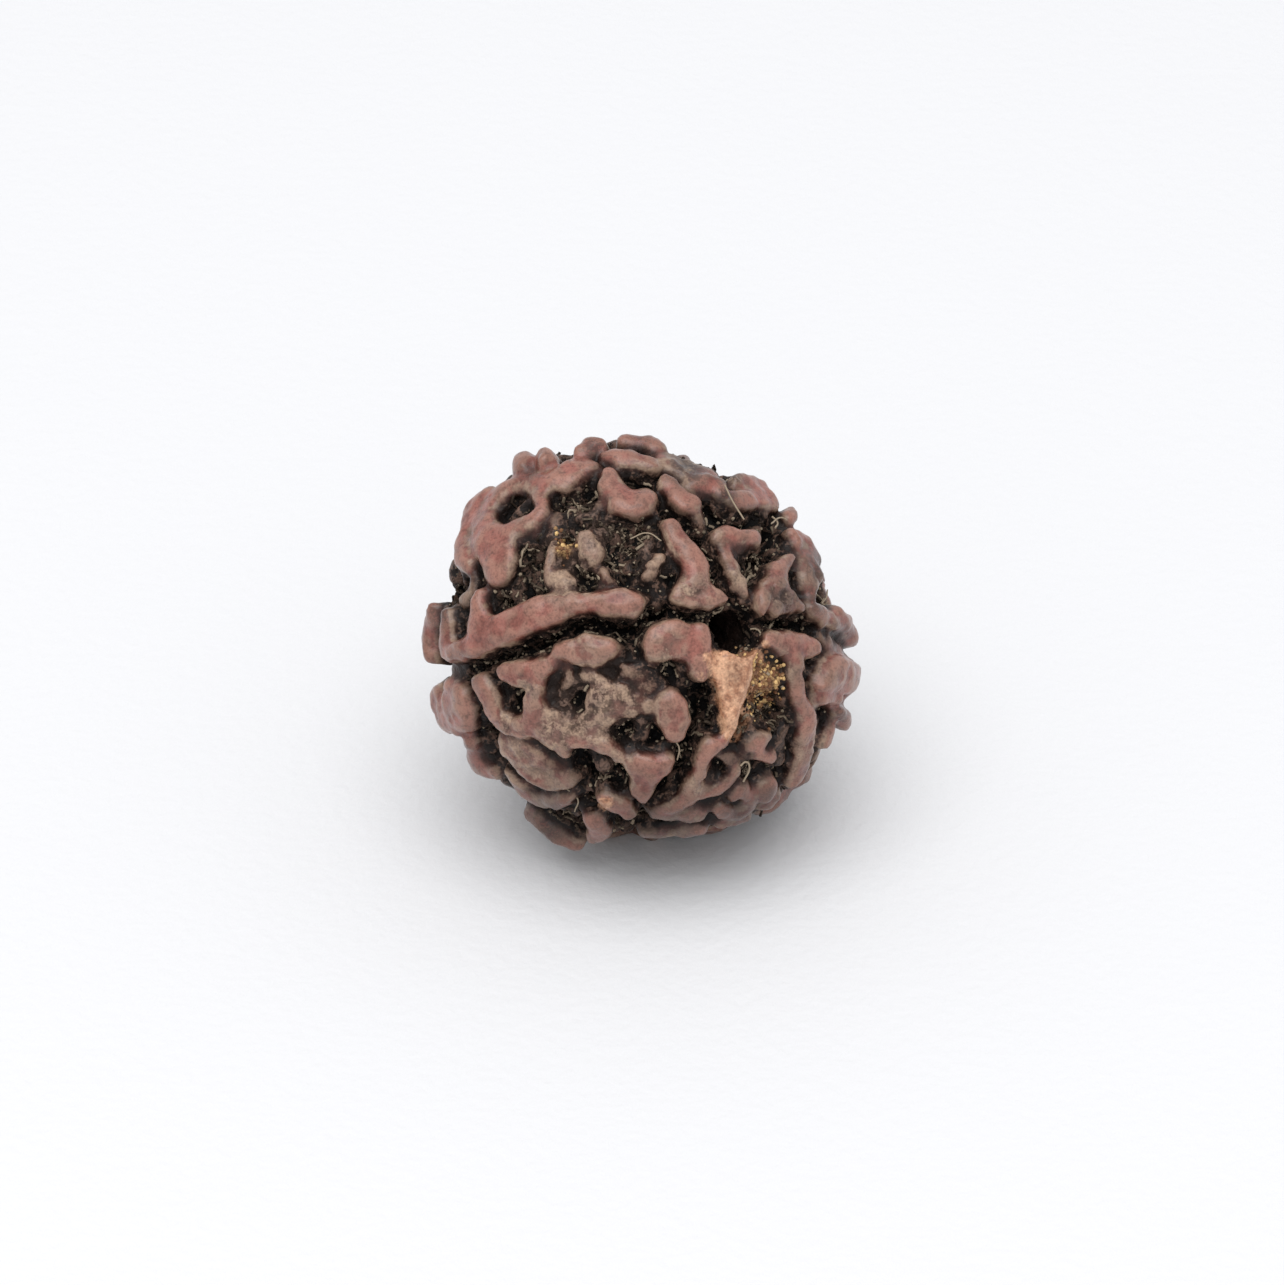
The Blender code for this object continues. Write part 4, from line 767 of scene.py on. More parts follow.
class Wire:
    """A node's output. Sums, differences and products of wires and numbers add their Math nodes."""

    def __init__(self, nodes, socket):
        self.nodes = nodes
        self.socket = socket

    def math(self, operation, first, second):
        return self.nodes.node("ShaderNodeMath", {"operation": operation}, {0: first, 1: second})

    def __add__(self, other):
        return self.math("ADD", self, other)

    def __sub__(self, other):
        return self.math("SUBTRACT", self, other)

    def __rsub__(self, other):
        return self.math("SUBTRACT", other, self)

    def __mul__(self, other):
        return self.math("MULTIPLY", self, other)

    __radd__ = __add__
    __rmul__ = __mul__

    def step(self, start, end):
        """0 up to the start, 1 from the end on, and a smooth rise between."""
        values = {"Value": self, "From Min": start, "From Max": end}
        return self.nodes.node("ShaderNodeMapRange", {"interpolation_type": "SMOOTHSTEP"}, values)

    def band(self, start, full, fading, end):
        """1 from full to fading, and a smooth fall to 0 on both sides."""
        return self.step(start, full) * (1 - self.step(fading, end))

    def swing(self, strength):
        """Noise that lies round 0.5, as a difference of up to half this strength either way."""
        return (self - 0.5) * strength


class Nodes:
    """A tree of nodes, all added in one way."""

    def __init__(self, tree):
        self.tree = tree

    def node(self, kind, settings=None, values=None, output=0):
        """One output of a new node, with its settings and the values or wires of its inputs."""
        node = self.tree.nodes.new(kind)
        for name, value in (settings or {}).items():
            setattr(node, name, value)
        self.feed(node, values or {})
        return Wire(self, node.outputs[output])

    def feed(self, node, values):
        for name, value in values.items():
            if isinstance(value, Wire):
                self.tree.links.new(value.socket, node.inputs[name])
            else:
                node.inputs[name].default_value = value


class Finish(Nodes):
    """A material, and the patterns that finishes are made of."""

    def __init__(self, name):
        self.material = bpy.data.materials.new(name)
        self.material.use_nodes = True
        super().__init__(self.material.node_tree)
        self.place = self.node("ShaderNodeTexCoord", output="Object")

    def shows(self, values):
        """Feeds the surface, and gives the finished material."""
        self.feed(self.tree.nodes["Principled BSDF"], values)
        return self.material

    def mark(self, name):
        """A number that the mesh holds at each of its points."""
        return self.node("ShaderNodeAttribute", {"attribute_name": name}, output="Fac")

    def noise(self, size, detail=2.0):
        """Even noise round 0.5, with features of this size in mm."""
        values = {"Vector": self.place, "Scale": 1 / (size * MM), "Detail": detail}
        return self.node("ShaderNodeTexNoise", None, values)

    def threads(self, size, width):
        """1 along curly threads, with loops of this size in mm, and 0 between them."""
        away = self.node("ShaderNodeMath", {"operation": "ABSOLUTE"}, {0: self.noise(size, 1) - 0.5})
        return 1 - away.step(0, width)

    def blend(self, share, first, second):
        """The first colour, or as much of the second as the share says."""
        return self.node("ShaderNodeMix", {"data_type": "RGBA"}, {0: share, 6: first, 7: second}, 2)

    def shade(self, colour, share):
        """The colour, lighter or darker by this share."""
        return self.node("ShaderNodeVectorMath", {"operation": "SCALE"}, {0: colour, "Scale": share})

    def bump(self, height, distance, strength=1.0):
        """Relief this many mm high at a height of 1."""
        values = {"Height": height, "Distance": distance * MM, "Strength": strength}
        return self.node("ShaderNodeBump", None, values)


class WoodFinish(Finish):
    """The stone's finish: its marks and noises, then a method for each layer of colour."""

    def __init__(self, look):
        super().__init__("stone_wood")
        self.look = look
        self.hollow, self.weathered, self.soiled = map(self.mark, ("hollow", "weathered", "soiled"))
        self.broad, self.patchy = self.noise(2.4), self.noise(0.8, 3)
        self.mottled, self.fine = self.noise(0.3, 3), self.noise(0.12, 2)
        self.grains = self.noise(0.34, 1).step(0.5, 0.62) * 0.7 + self.threads(0.5, 0.06) * 0.3
        # The depth in mm, swayed so that no layer ends in a clean line
        self.level = self.mark("depth") + self.patchy.swing(0.35) + self.mottled.swing(0.25)
        # Where dry crust lies, and its lumps
        self.crust = (self.weathered + self.patchy.swing(1.5) + self.mottled.swing(0.7)).step(0.5, 0.9)
        self.lumpy = self.mottled * 0.5 + self.fine * 0.3 + self.patchy * 0.2 - self.hollow * 0.3

    def ridges(self):
        """Red to tan in patches, duller where weathered, browner and darker down their sides with painted
        shade, tan where rubbed.
        """
        look, weathered = self.look, self.weathered
        red = (self.broad + self.patchy.swing(0.6)).step(0.38, 0.62)
        colour = self.blend(red, look.ridge_colour, look.ridge_dark_colour)
        colour = self.blend(self.mottled.step(0.45, 0.8) * 0.45, colour, look.ridge_pale_colour)
        dull = (weathered + self.patchy.swing(0.5)).step(0.1, 0.9) * 0.85
        colour = self.blend(dull, colour, look.dull_colour)
        # Painted shade: the sides turn darker brown as they fall away, which stands in for the shade down
        # the ridges' walls as well as browner wood
        sides = self.level.step(*SIDE_SHADE_DEPTH) * (0.95 - weathered * 0.5)
        colour = self.blend(sides, colour, look.side_brown_and_shade_colour)
        rubbed = (self.fine.swing(0.15) - self.hollow).step(0.13, 0.38) * (0.28 + weathered * 0.4)
        return self.blend(rubbed, colour, look.edge_colour)

    def crusted(self, colour):
        """Dry crust on some plateaus: pale lumps and flecks with dark between them."""
        look = self.look
        crumbly = self.blend(self.lumpy.step(0.45, 0.58), look.crust_dark_colour, look.weathered_colour)
        crumbly = self.blend(self.noise(0.24, 1).step(0.62, 0.7) * 0.7, crumbly, look.fleck_colour)
        crumbly = self.blend(self.noise(0.22, 2).step(0.54, 0.62) * 0.8, crumbly, look.crevice_colour)
        return self.blend(self.crust * 0.75, colour, crumbly)

    def specked(self, colour):
        """Soil that clings in specks, in some places thickly."""
        specks = (self.fine * 0.5 + self.mottled * 0.5 + self.soiled * 0.25).step(0.55, 0.65)
        return self.blend(specks * (0.32 + self.soiled * 0.55), colour, self.look.crevice_colour)

    def rimmed(self, colour):
        """Rims rubbed pale here and there, and dry ones round the weathered plateaus."""
        rubbed = self.level.band(*RIM_BAND) * (self.broad + self.patchy - 0.5).step(0.4, 0.66)
        dry = self.level.band(*DRY_RIM_BAND) * self.weathered * self.lumpy.step(0.49, 0.6)
        return self.blend(rubbed * 0.6 + dry * 0.45, colour, self.look.edge_colour)

    def pitted(self, colour):
        """Dusty slopes, greyer where weathered, with painted shade where they are hollow and at the ridges'
        feet, and dark soil with some dust on the pits' floors.
        """
        look, level = self.look, self.level
        dusty = self.grains * 0.6 + self.fine.swing(0.9) + self.patchy.swing(0.9) + 0.14
        # Painted shade: less dust shows in hollows and at the feet of the ridges, which leaves them dark
        dusty = dusty - self.hollow * 0.7 - level.band(*FOOT_SHADE_BAND) * 0.3 + self.mark("pulp") * 0.35
        dusty = dusty.step(0.0, 0.7)
        slope = self.blend(dusty, look.crevice_colour, look.dust_colour)
        dry_slope = self.blend(dusty, look.crust_dark_colour, look.weathered_colour)
        dry = (self.weathered + self.patchy.swing(0.4)).step(0.15, 0.7) * 0.85
        slope = self.blend(dry, slope, dry_slope)
        colour = self.blend(level.step(*SLOPE_DEPTH), colour, slope)
        dust = (dusty + self.broad.swing(0.8)).step(0.3, 1.2)
        floor = self.blend(dust, look.soil_colour, look.dust_colour)
        return self.blend(level.step(*FLOOR_DEPTH), colour, floor)

    def bared(self, colour):
        """The amber crust beside the tongue, the tongue's fresh wood, and the wall of the bore."""
        look, level = self.look, self.level
        lumps = (self.fine * 0.5 + self.mottled * 0.5).step(0.4, 0.62)
        amber = self.blend(lumps, look.amber_dark_colour, look.amber_colour)
        there = (self.mark("amber") + self.patchy.swing(0.5)).step(0.2, 0.7)
        colour = self.blend(there * (1 - level.step(*AMBER_END)), colour, amber)
        streaks = (self.mottled * 0.5 + self.patchy * 0.5).step(0.38, 0.62)
        fresh = self.blend(streaks, look.bare_colour, look.bare_pale_colour)
        there = (self.mark("bare") + self.patchy.swing(0.5) + self.fine.swing(0.3)).step(0.35, 0.65)
        colour = self.blend(there * (1 - level.step(*BARE_END)), colour, fresh)
        return self.blend(self.mark("inside"), colour, look.bore_colour)

    def toned(self, colour):
        """Lighter and darker specks and patches at random, with painted shade that darkens the colour down
        in the pits, in hollows and in some spots, and clinging soil that darkens it too.
        """
        tone = self.fine + self.mottled * 0.9 + self.broad * 0.5 - 0.38
        # Painted shade: the colour darkens from the ridges' sides down into the pits
        tone = tone * (1 - self.level.step(*DEEP_SHADE_END) * 0.35)
        # Painted shade: darker in hollows, under the ridges
        tone = tone * (1 - self.hollow.step(0.05, 0.6) * 0.25)
        # Painted shade in its spots, with the tongue's browner tint, and darker where soil clings
        return self.shade(colour, tone * (1 - self.soiled * 0.18) * (1 - self.mark("shade_and_tint") * 0.5))


def wood_finish(look):
    """Reddish ridges with pale rubbed rims, dry grey crust, dark crumbly soil below, bare new wood."""
    wood = WoodFinish(look)
    colour = wood.ridges()
    for layer in (wood.crusted, wood.specked, wood.rimmed, wood.pitted, wood.bared, wood.toned):
        colour = layer(colour)
    soil = wood.level.step(*SOIL_DEPTH)
    relief = wood.fine * 0.5 + wood.mottled * 0.6 + wood.grains * soil * 1.2 + wood.mottled * wood.crust
    return wood.shows({
        "Base Color": colour,
        "Roughness": look.ridge_roughness + wood.crust * 0.25 + soil * 0.4 + wood.mottled.swing(0.3),
        "Specular IOR Level": DULL_SHINE,
        "Coat Weight": (1 - wood.level.step(*COAT_END)) * (1 - wood.crust * 0.6) * look.polish,
        "Coat Roughness": look.ridge_roughness,
        "Normal": wood.bump(relief, 0.06, 0.8),
    })


def pulp_finish(name, colour, dark_colour, roughness):
    """Dried pulp, unevenly brown."""
    finish = Finish(name)
    share = finish.noise(0.7) * 0.5 + finish.noise(0.25) * 0.5 + finish.mark("tone") - 0.3
    return finish.shows({
        "Base Color": finish.blend(share.step(0.2, 0.8), colour, dark_colour),
        "Roughness": roughness,
        "Specular IOR Level": DULL_SHINE,
        "Normal": finish.bump(finish.noise(0.08), 0.02),
    })


def floor_finish(look):
    """Plain pale card with a very slight tooth."""
    finish = Finish("pale_card")
    return finish.shows({
        "Base Color": look.floor_colour,
        "Roughness": 0.8,
        "Normal": finish.bump(finish.noise(0.7, 3), 0.1, 0.6),
    })


def placed(name, data):
    """A new object in the scene that shows this mesh, curve, light or camera."""
    item = bpy.data.objects.new(name, data)
    bpy.context.scene.collection.objects.link(item)
    return item


def shaped(name, shape):
    """The finished shape as an object."""
    mesh = bpy.data.meshes.new(name)
    shape.to_mesh(mesh)
    shape.free()
    return placed(name, mesh)


def settle(item):
    """Replaces the object's mesh by what its modifiers make of it."""
    bpy.context.view_layer.update()
    evaluated = item.evaluated_get(bpy.context.evaluated_depsgraph_get())
    mesh = bpy.data.meshes.new_from_object(evaluated)
    item.modifiers.clear()
    item.data = mesh


def remesh(item, voxel):
    modifier = item.modifiers.new("Remesh", "REMESH")
    modifier.mode = "VOXEL"
    modifier.voxel_size = voxel * MM
    settle(item)


def cut(item, tool):
    """Takes the tool's shape out of the object, and the tool out of the scene."""
    modifier = item.modifiers.new("Cut", "BOOLEAN")
    modifier.operation = "DIFFERENCE"
    modifier.object = tool
    settle(item)
    bpy.data.objects.remove(tool)


def thin(item, triangles):
    """Leaves about this many triangles."""
    count = sum(len(face.vertices) - 2 for face in item.data.polygons)
    modifier = item.modifiers.new("Thin", "DECIMATE")
    modifier.ratio = min(1.0, triangles / count)
    settle(item)


def at_points(mesh, field):
    """The mesh's points ("co") or the surface's directions there ("normal"), a row for each."""
    values = np.empty(len(mesh.vertices) * 3)
    mesh.vertices.foreach_get(field, values)
    return values.reshape(-1, 3)


def bore_tool(form):
    """The bore's inside, turned about the polar axis: narrow within, wide at both mouths."""
    mouth, bore, reach = form.mouth_radius, form.bore_radius, CUTTER_REACH * MM
    upper = ((0, reach), (mouth, reach), (mouth, MOUTH_LEVEL * MM), (bore, NECK_LEVEL * MM))
    profile = upper + tuple((radius, -level) for radius, level in reversed(upper))
    shape = bmesh.new()
    corners = [shape.verts.new((radius, 0, level)) for radius, level in profile]
    for start, end in zip(corners, corners[1:]):
        shape.edges.new((start, end))
    tool = shaped("bore_tool", shape)
    screw = tool.modifiers.new("Screw", "SCREW")
    screw.steps = screw.render_steps = CUTTER_SIDES
    screw.use_merge_vertices = True
    screw.merge_threshold = CUTTER_MERGE
    tool.rotation_euler = (front_frame() @ POLE).to_track_quat("Z", "Y").to_euler()
    return tool


def rest_tool():
    """A block whose top is the level that the stone rests at."""
    size = 2 * CUTTER_REACH * MM
    shape = bmesh.new()
    bmesh.ops.create_cube(shape, size=size)
    tool = shaped("rest_tool", shape)
    tool.location.z = -REST_LEVEL * MM - size / 2
    return tool


def ball(steps, form):
    """A ball of small triangles moved out to the stone's surface, in metres."""
    shape = bmesh.new()
    bmesh.ops.create_icosphere(shape, subdivisions=steps, radius=1)
    directions = np.array([vertex.co.normalized() for vertex in shape.verts])
    points = stone_surface(directions, form) @ np.array(front_frame()).T * MM
    for vertex, point in zip(shape.verts, points):
        vertex.co = point
    return shaped("stone", shape)


def seen_points(mesh):
    """The mesh's points in mm, in the front's axes and from the stone's centre."""
    return at_points(mesh, "co") / MM @ np.array(front_frame())


def depth_below(points):
    """How far points lie below the ovoid that the crests follow, mm."""
    radius = np.linalg.norm(points, axis=1, keepdims=True)
    directions = points / radius
    return np.linalg.norm(on_ovoid(directions), axis=1) + bulge(directions) - radius[:, 0]


def grain(item, form):
    """Fine relief along the surface's normals, coarser in the pits and on the crust."""
    mesh = item.data
    points = seen_points(mesh)
    pit = smooth((depth_below(points) - PIT_START) / (PIT_FULL - PIT_START))
    height = wavy(points, GRAIN_WAVES, GRAIN_PART) + pit * wavy(points, PIT_GRAIN_WAVES, PIT_GRAIN_PART)
    height += spotted(points, WEATHERED_SPOTS) * wavy(points, CRUST_GRAIN_WAVES, CRUST_PART)
    moved = at_points(mesh, "co") + at_points(mesh, "normal") * (height * form.grain_share * MM)[:, None]
    mesh.vertices.foreach_set("co", moved.ravel())
    mesh.update()


def hollowness(mesh):
    """Over 0 where the surface is hollow, under 0 where it stands out, from each point's neighbours."""
    points, normals = at_points(mesh, "co") / MM, at_points(mesh, "normal")
    edges = np.empty(len(mesh.edges) * 2, int)
    mesh.edges.foreach_get("vertices", edges)
    first, second = edges.reshape(-1, 2).T
    count = np.bincount(edges, minlength=len(points))

    def around(values):
        total = np.bincount(first, values[second], len(points))
        total += np.bincount(second, values[first], len(points))
        return total / count

    mean = points
    for _ in range(HOLLOW_REACH):
        mean = np.column_stack([around(mean[:, axis]) for axis in range(3)])
    hollow = ((mean - points) * normals).sum(axis=1) / HOLLOW_FULL
    for _ in range(HOLLOW_SMOOTHING):
        hollow = (hollow + around(hollow)) / 2
    return hollow


def spotted(points, spots):
    """How strongly soft spots, as they are seen from the front, reach these points."""
    total = np.zeros(len(points))
    for x, y, reach, strength in spots:
        away = np.hypot(points[:, 0] - x, points[:, 1] - y)
        total = np.maximum(total, strength * np.exp(-((away / reach) ** 2)))
    return total * smooth(points[:, 2] / SPOT_FADE + 1)


def rise(values, start, reach):
    """0 up to the start, 1 from the reach beyond it, and a smooth rise between."""
    return smooth((values - start) / reach)


def mark_surface(mesh):
    """Marks the stone for its finish and for what lies in its pits."""
    points = seen_points(mesh)
    behind = rise(-points[:, 2], *BEHIND)
    # The net lies lower just behind the front's rim, and its ridges are ridges there too
    depth = depth_below(points) - rim_drop(points) * rise(-points[:, 2], *BEHIND_RIM)
    from_axis = np.linalg.norm(np.cross(points, np.array(POLE)), axis=1)
    inside = rise(BORE_REACH - from_axis, 0, BORE_FADE) * rise(depth, *BORE_DEPTH)
    above = at_points(mesh, "co")[:, 2] / MM + REST_LEVEL
    pit = rise(depth, *PIT_DEPTH) * (1 - rise(depth, *PAST_PIT_DEPTH)) * (1 - inside)
    pit *= rise(above, *CLEAR_HEIGHT)
    patches = smooth(wavy(points, PATCH_WAVES, PATCH_PART) * PATCH_CONTRAST)
    pulp = PULP_ALL_OVER + HIDDEN_PULP * behind * patches
    soil = SOIL_ALL_OVER + (1 - SOIL_ALL_OVER) * patches
    golden = spotted(points, GOLD_SPOTS)
    marks = {
        "depth": depth,
        "hollow": hollowness(mesh),
        "inside": inside,
        "weathered": np.maximum(spotted(points, WEATHERED_SPOTS), behind * HIDDEN_WEATHERED * patches),
        "soiled": np.maximum(spotted(points, SOILED_SPOTS), behind * HIDDEN_SOILED * (1 - patches)),
        "bare": spotted(points, BARE_SPOTS),
        "pulp": pit * np.maximum(spotted(points, PULP_SPOTS), pulp),
        "soil": pit * soil * (1 - CLEFT_BARENESS * rise(depth, *CLEFT_DEPTH)),
        "amber": golden,
        "gold": golden * rise(depth, *GOLD_DEPTH),
        # Painted shade, and the tongue's browner tint
        "shade_and_tint": spotted(points, SHADE_AND_TINT_SPOTS),
    }
    for name, values in marks.items():
        mesh.attributes.new(name, "FLOAT", "POINT").data.foreach_set("value", values.astype(np.float32))


def make_stone(form, look):
    """The whole stone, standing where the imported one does."""
    steps, voxel, triangles = STONE_DETAIL
    stone = ball(steps, form)
    remesh(stone, voxel)
    cut(stone, bore_tool(form))
    remesh(stone, voxel)
    grain(stone, form)
    thin(stone, triangles)
    cut(stone, rest_tool())
    mark_surface(stone.data)
    points = at_points(stone.data, "co")
    middle = (points.min(axis=0) + points.max(axis=0)) / 2
    cad_middle = (CAD_SEED[0] + CAD_SEED[1]) / 2
    shift = Vector((cad_middle.x - middle[0], cad_middle.y - middle[1], REST_LEVEL * MM))
    stone.data.transform(Matrix.Translation(shift))
    stone.data.materials.clear()
    stone.data.materials.append(wood_finish(look))
    stone.data.shade_smooth()
    stone["centre"] = list(shift)
    return stone


class Tree(Nodes):
    """A Geometry Nodes group with named inputs."""

    def __init__(self, name, inputs):
        super().__init__(bpy.data.node_groups.new(name, "GeometryNodeTree"))
        sockets = self.tree.interface
        sockets.new_socket("Geometry", in_out="INPUT", socket_type="NodeSocketGeometry")
        sockets.new_socket("Geometry", in_out="OUTPUT", socket_type="NodeSocketGeometry")
        self.names = {}
        for label, kind in inputs.items():
            socket = sockets.new_socket(label, in_out="INPUT", socket_type=kind)
            self.names[label] = socket.identifier
        self.source = self.tree.nodes.new("NodeGroupInput")

    def input(self, label):
        return Wire(self, self.source.outputs[label])

    def close(self, geometry):
        """Ends the tree in one plain mesh with its material."""
        solid = self.node("GeometryNodeRealizeInstances", None, {0: geometry})
        values = {"Geometry": solid, "Material": self.input("Material")}
        dressed = self.node("GeometryNodeSetMaterial", None, values)
        self.feed(self.tree.nodes.new("NodeGroupOutput"), {0: dressed})

    def run(self, name, mesh, values):
        """The mesh that the tree makes on this one, as an object of its own."""
        item = placed(name, mesh.copy())
        modifier = item.modifiers.new(name, "NODES")
        modifier.node_group = self.tree
        for label, value in values.items():
            modifier[self.names[label]] = value
        settle(item)
        return item


SCATTER_INPUTS = {
    "Density": "NodeSocketFloat",
    "Size": "NodeSocketFloat",
    "Unevenness": "NodeSocketFloat",
    "Seed": "NodeSocketInt",
    "Material": "NodeSocketMaterial",
}


def scattered(tree, mark, low_turn, high_turn, item):
    """Copies of the item over the surface, as dense as the mark says, each turned and sized at random."""
    seed = tree.input("Seed")
    there = tree.node("GeometryNodeInputNamedAttribute", {"data_type": "FLOAT"}, {"Name": mark})
    values = {"Mesh": tree.input("Geometry"), "Density": there * tree.input("Density"), "Seed": seed}
    points = tree.node("GeometryNodeDistributePointsOnFaces", {"distribute_method": "RANDOM"}, values)
    values = {0: low_turn, 1: high_turn, "Seed": seed}
    turn = tree.node("FunctionNodeRandomValue", {"data_type": "FLOAT_VECTOR"}, values)
    values = {0: Wire(tree, points.socket.node.outputs["Rotation"]), 1: turn}
    turned = tree.node("FunctionNodeRotateRotation", {"rotation_space": "LOCAL"}, values)
    values = {2: STREWN_SIZES[0], 3: STREWN_SIZES[1], "Seed": SIZE_DRAW}
    size = tree.node("FunctionNodeRandomValue", {"data_type": "FLOAT"}, values, 1) * tree.input("Size")
    values = {"Points": points, "Instance": item, "Rotation": turned, "Scale": size}
    copies = tree.node("GeometryNodeInstanceOnPoints", None, values)
    values = {2: 0.0, 3: 1.0, "Seed": TONE_DRAW}
    tone = tree.node("FunctionNodeRandomValue", {"data_type": "FLOAT"}, values, 1)
    values = {"Geometry": copies, "Name": "tone", "Value": tone}
    settings = {"data_type": "FLOAT", "domain": "INSTANCE"}
    toned = tree.node("GeometryNodeStoreNamedAttribute", settings, values)
    return tree.node("GeometryNodeRealizeInstances", None, {0: toned})


def unevened(tree, geometry, wave):
    """Moves points by smooth noise with waves of this size in mm, so that no two copies are alike."""
    place = tree.node("GeometryNodeInputPosition")
    values = {"Vector": place, "Scale": 1 / (wave * MM), "Detail": 1.0}
    field = tree.node("ShaderNodeTexNoise", None, values, "Color")
    centred = tree.node("ShaderNodeVectorMath", {"operation": "SUBTRACT"}, {0: field, 1: (0.5,) * 3})
    values = {0: centred, "Scale": tree.input("Unevenness")}
    moved = tree.node("ShaderNodeVectorMath", {"operation": "SCALE"}, values)
    return tree.node("GeometryNodeSetPosition", None, {"Geometry": geometry, "Offset": moved})


def fibre_tree(mark):
    """Thin curled fibres lying in the pits."""
    tree = Tree("pulp_fibres", SCATTER_INPUTS | {"Radius": "NodeSocketFloat"})
    ends = {"Start": (0, 0, -0.5), "End": (0, 0, 0.5)}
    line = tree.node("GeometryNodeCurvePrimitiveLine", None, ends)
    line = tree.node("GeometryNodeResampleCurve", None, {"Curve": line, "Count": FIBRE_JOINTS})
    low_turn, high_turn = (FIBRE_LEAN[0], 0, 0), (FIBRE_LEAN[1], 0, 2 * math.pi)
    curled = unevened(tree, scattered(tree, mark, low_turn, high_turn, line), FIBRE_WAVE)
    values = {"Resolution": FIBRE_SIDES, "Radius": tree.input("Radius")}
    section = tree.node("GeometryNodeCurvePrimitiveCircle", None, values)
    values = {"Curve": curled, "Profile Curve": section, "Fill Caps": True}
    tree.close(tree.node("GeometryNodeCurveToMesh", None, values))
    return tree


def crumb_tree(mark):
    """Small angular crumbs lying in the pits."""
    tree = Tree("pulp_crumbs", SCATTER_INPUTS)
    crumb = tree.node("GeometryNodeMeshIcoSphere", None, {"Radius": 1.0, "Subdivisions": 1})
    copies = scattered(tree, mark, (0, 0, 0), (math.pi,) * 3, crumb)
    tree.close(unevened(tree, copies, CRUMB_WAVE))
    return tree


def make_hairs(centre, material):
    """The few long hairs, each a thin tube along points over the stone."""
    curve = bpy.data.curves.new("hairs", "CURVE")
    curve.dimensions = "3D"
    # The hairs' radii are in mm, and the bevel's depth is what a radius of 1 stands for
    curve.bevel_depth = MM
    curve.bevel_resolution = 1
    curve.resolution_u = 6
    curve.use_fill_caps = True
    for height, radius, line in HAIRS:
        spline = curve.splines.new("BEZIER")
        spline.bezier_points.add(len(line) - 1)
        for point, (x, y) in zip(spline.bezier_points, line):
            under = wrapped(x, y)
            place = under * (1 + height / np.linalg.norm(under))
            point.co = front_frame() @ Vector(place) * MM + centre
            point.radius = radius
            point.handle_left_type = point.handle_right_type = "AUTO"
    hairs = placed("hairs", curve)
    bpy.context.view_layer.update()
    mesh = bpy.data.meshes.new_from_object(hairs.evaluated_get(bpy.context.evaluated_depsgraph_get()))
    bpy.data.objects.remove(hairs)
    mesh.materials.clear()
    mesh.materials.append(material)
    return placed("long_hairs", mesh)


def make_floor(stage):
    """A wide plain card."""
    shape = bmesh.new()
    squares = {"x_segments": FLOOR_SQUARES, "y_segments": FLOOR_SQUARES}
    bmesh.ops.create_grid(shape, size=stage.floor_size / 2, **squares)
    floor = shaped("floor", shape)
    floor.data.materials.append(floor_finish(stage))
    return floor


def make_lights(stage):
    """A large soft light overhead, a little behind, and even light from all round."""
    lamp = bpy.data.lights.new("overhead", "AREA")
    lamp.shape = "DISK"
    lamp.size = stage.lamp_size
    lamp.energy = stage.lamp_power
    item = placed("overhead", lamp)
    item.location = LAMP_PLACE
    item.rotation_euler = item.location.to_track_quat("Z", "Y").to_euler()
    world = bpy.data.worlds.new("studio")
    bpy.context.scene.world = world
    world.use_nodes = True
    backdrop = world.node_tree.nodes["Background"]
    backdrop.inputs["Color"].default_value = (*stage.room_colour, 1)
    backdrop.inputs["Strength"].default_value = stage.room_strength


def make_camera(stage, target):
    """A camera that looks down the front's axis at the stone's middle."""
    camera = bpy.data.cameras.new("camera")
    camera.sensor_width = SENSOR_WIDTH
    camera.lens = SENSOR_WIDTH * stage.camera_distance / (FRAME_WIDTH * MM)
    item = placed("camera", camera)
    back = front_frame() @ Vector((0, 0, 1))
    item.location = target + back * stage.camera_distance
    item.rotation_euler = back.to_track_quat("Z", "Y").to_euler()
    bpy.context.scene.camera = item


def number(name, description, value, **more):
    return FloatProperty(name=name, description=description, default=value, min=0, **more)


def length(name, description, millimetres):
    return number(name, description, millimetres * MM, precision=5, unit="LENGTH")


def fraction(name, description, value):
    return number(name, description, value, subtype="FACTOR")


def tint(name, description, *screen):
    """A colour, given as it shows on screen, 0 to 255."""
    return FloatVectorProperty(name=name, description=description, default=linear(*screen), size=4, min=0,
                               max=1, subtype="COLOR")


class StoneForm(bpy.types.PropertyGroup):
    """The stone's own sizes."""

    net_depth: length("Net depth", "How far the floor lies below the ridges", 1.8)
    cleft_depth: length("Cleft depth", "How much deeper the clefts are than the floor", 0.9)
    bore_radius: length("Bore radius", "Half the width of the bore inside the stone", 1.0)
    mouth_radius: length("Mouth radius", "Half the width of the bore at its two mouths", MOUTH_RADIUS)
    grain_share: fraction("Grain", "How strong the fine relief is", 1.0)


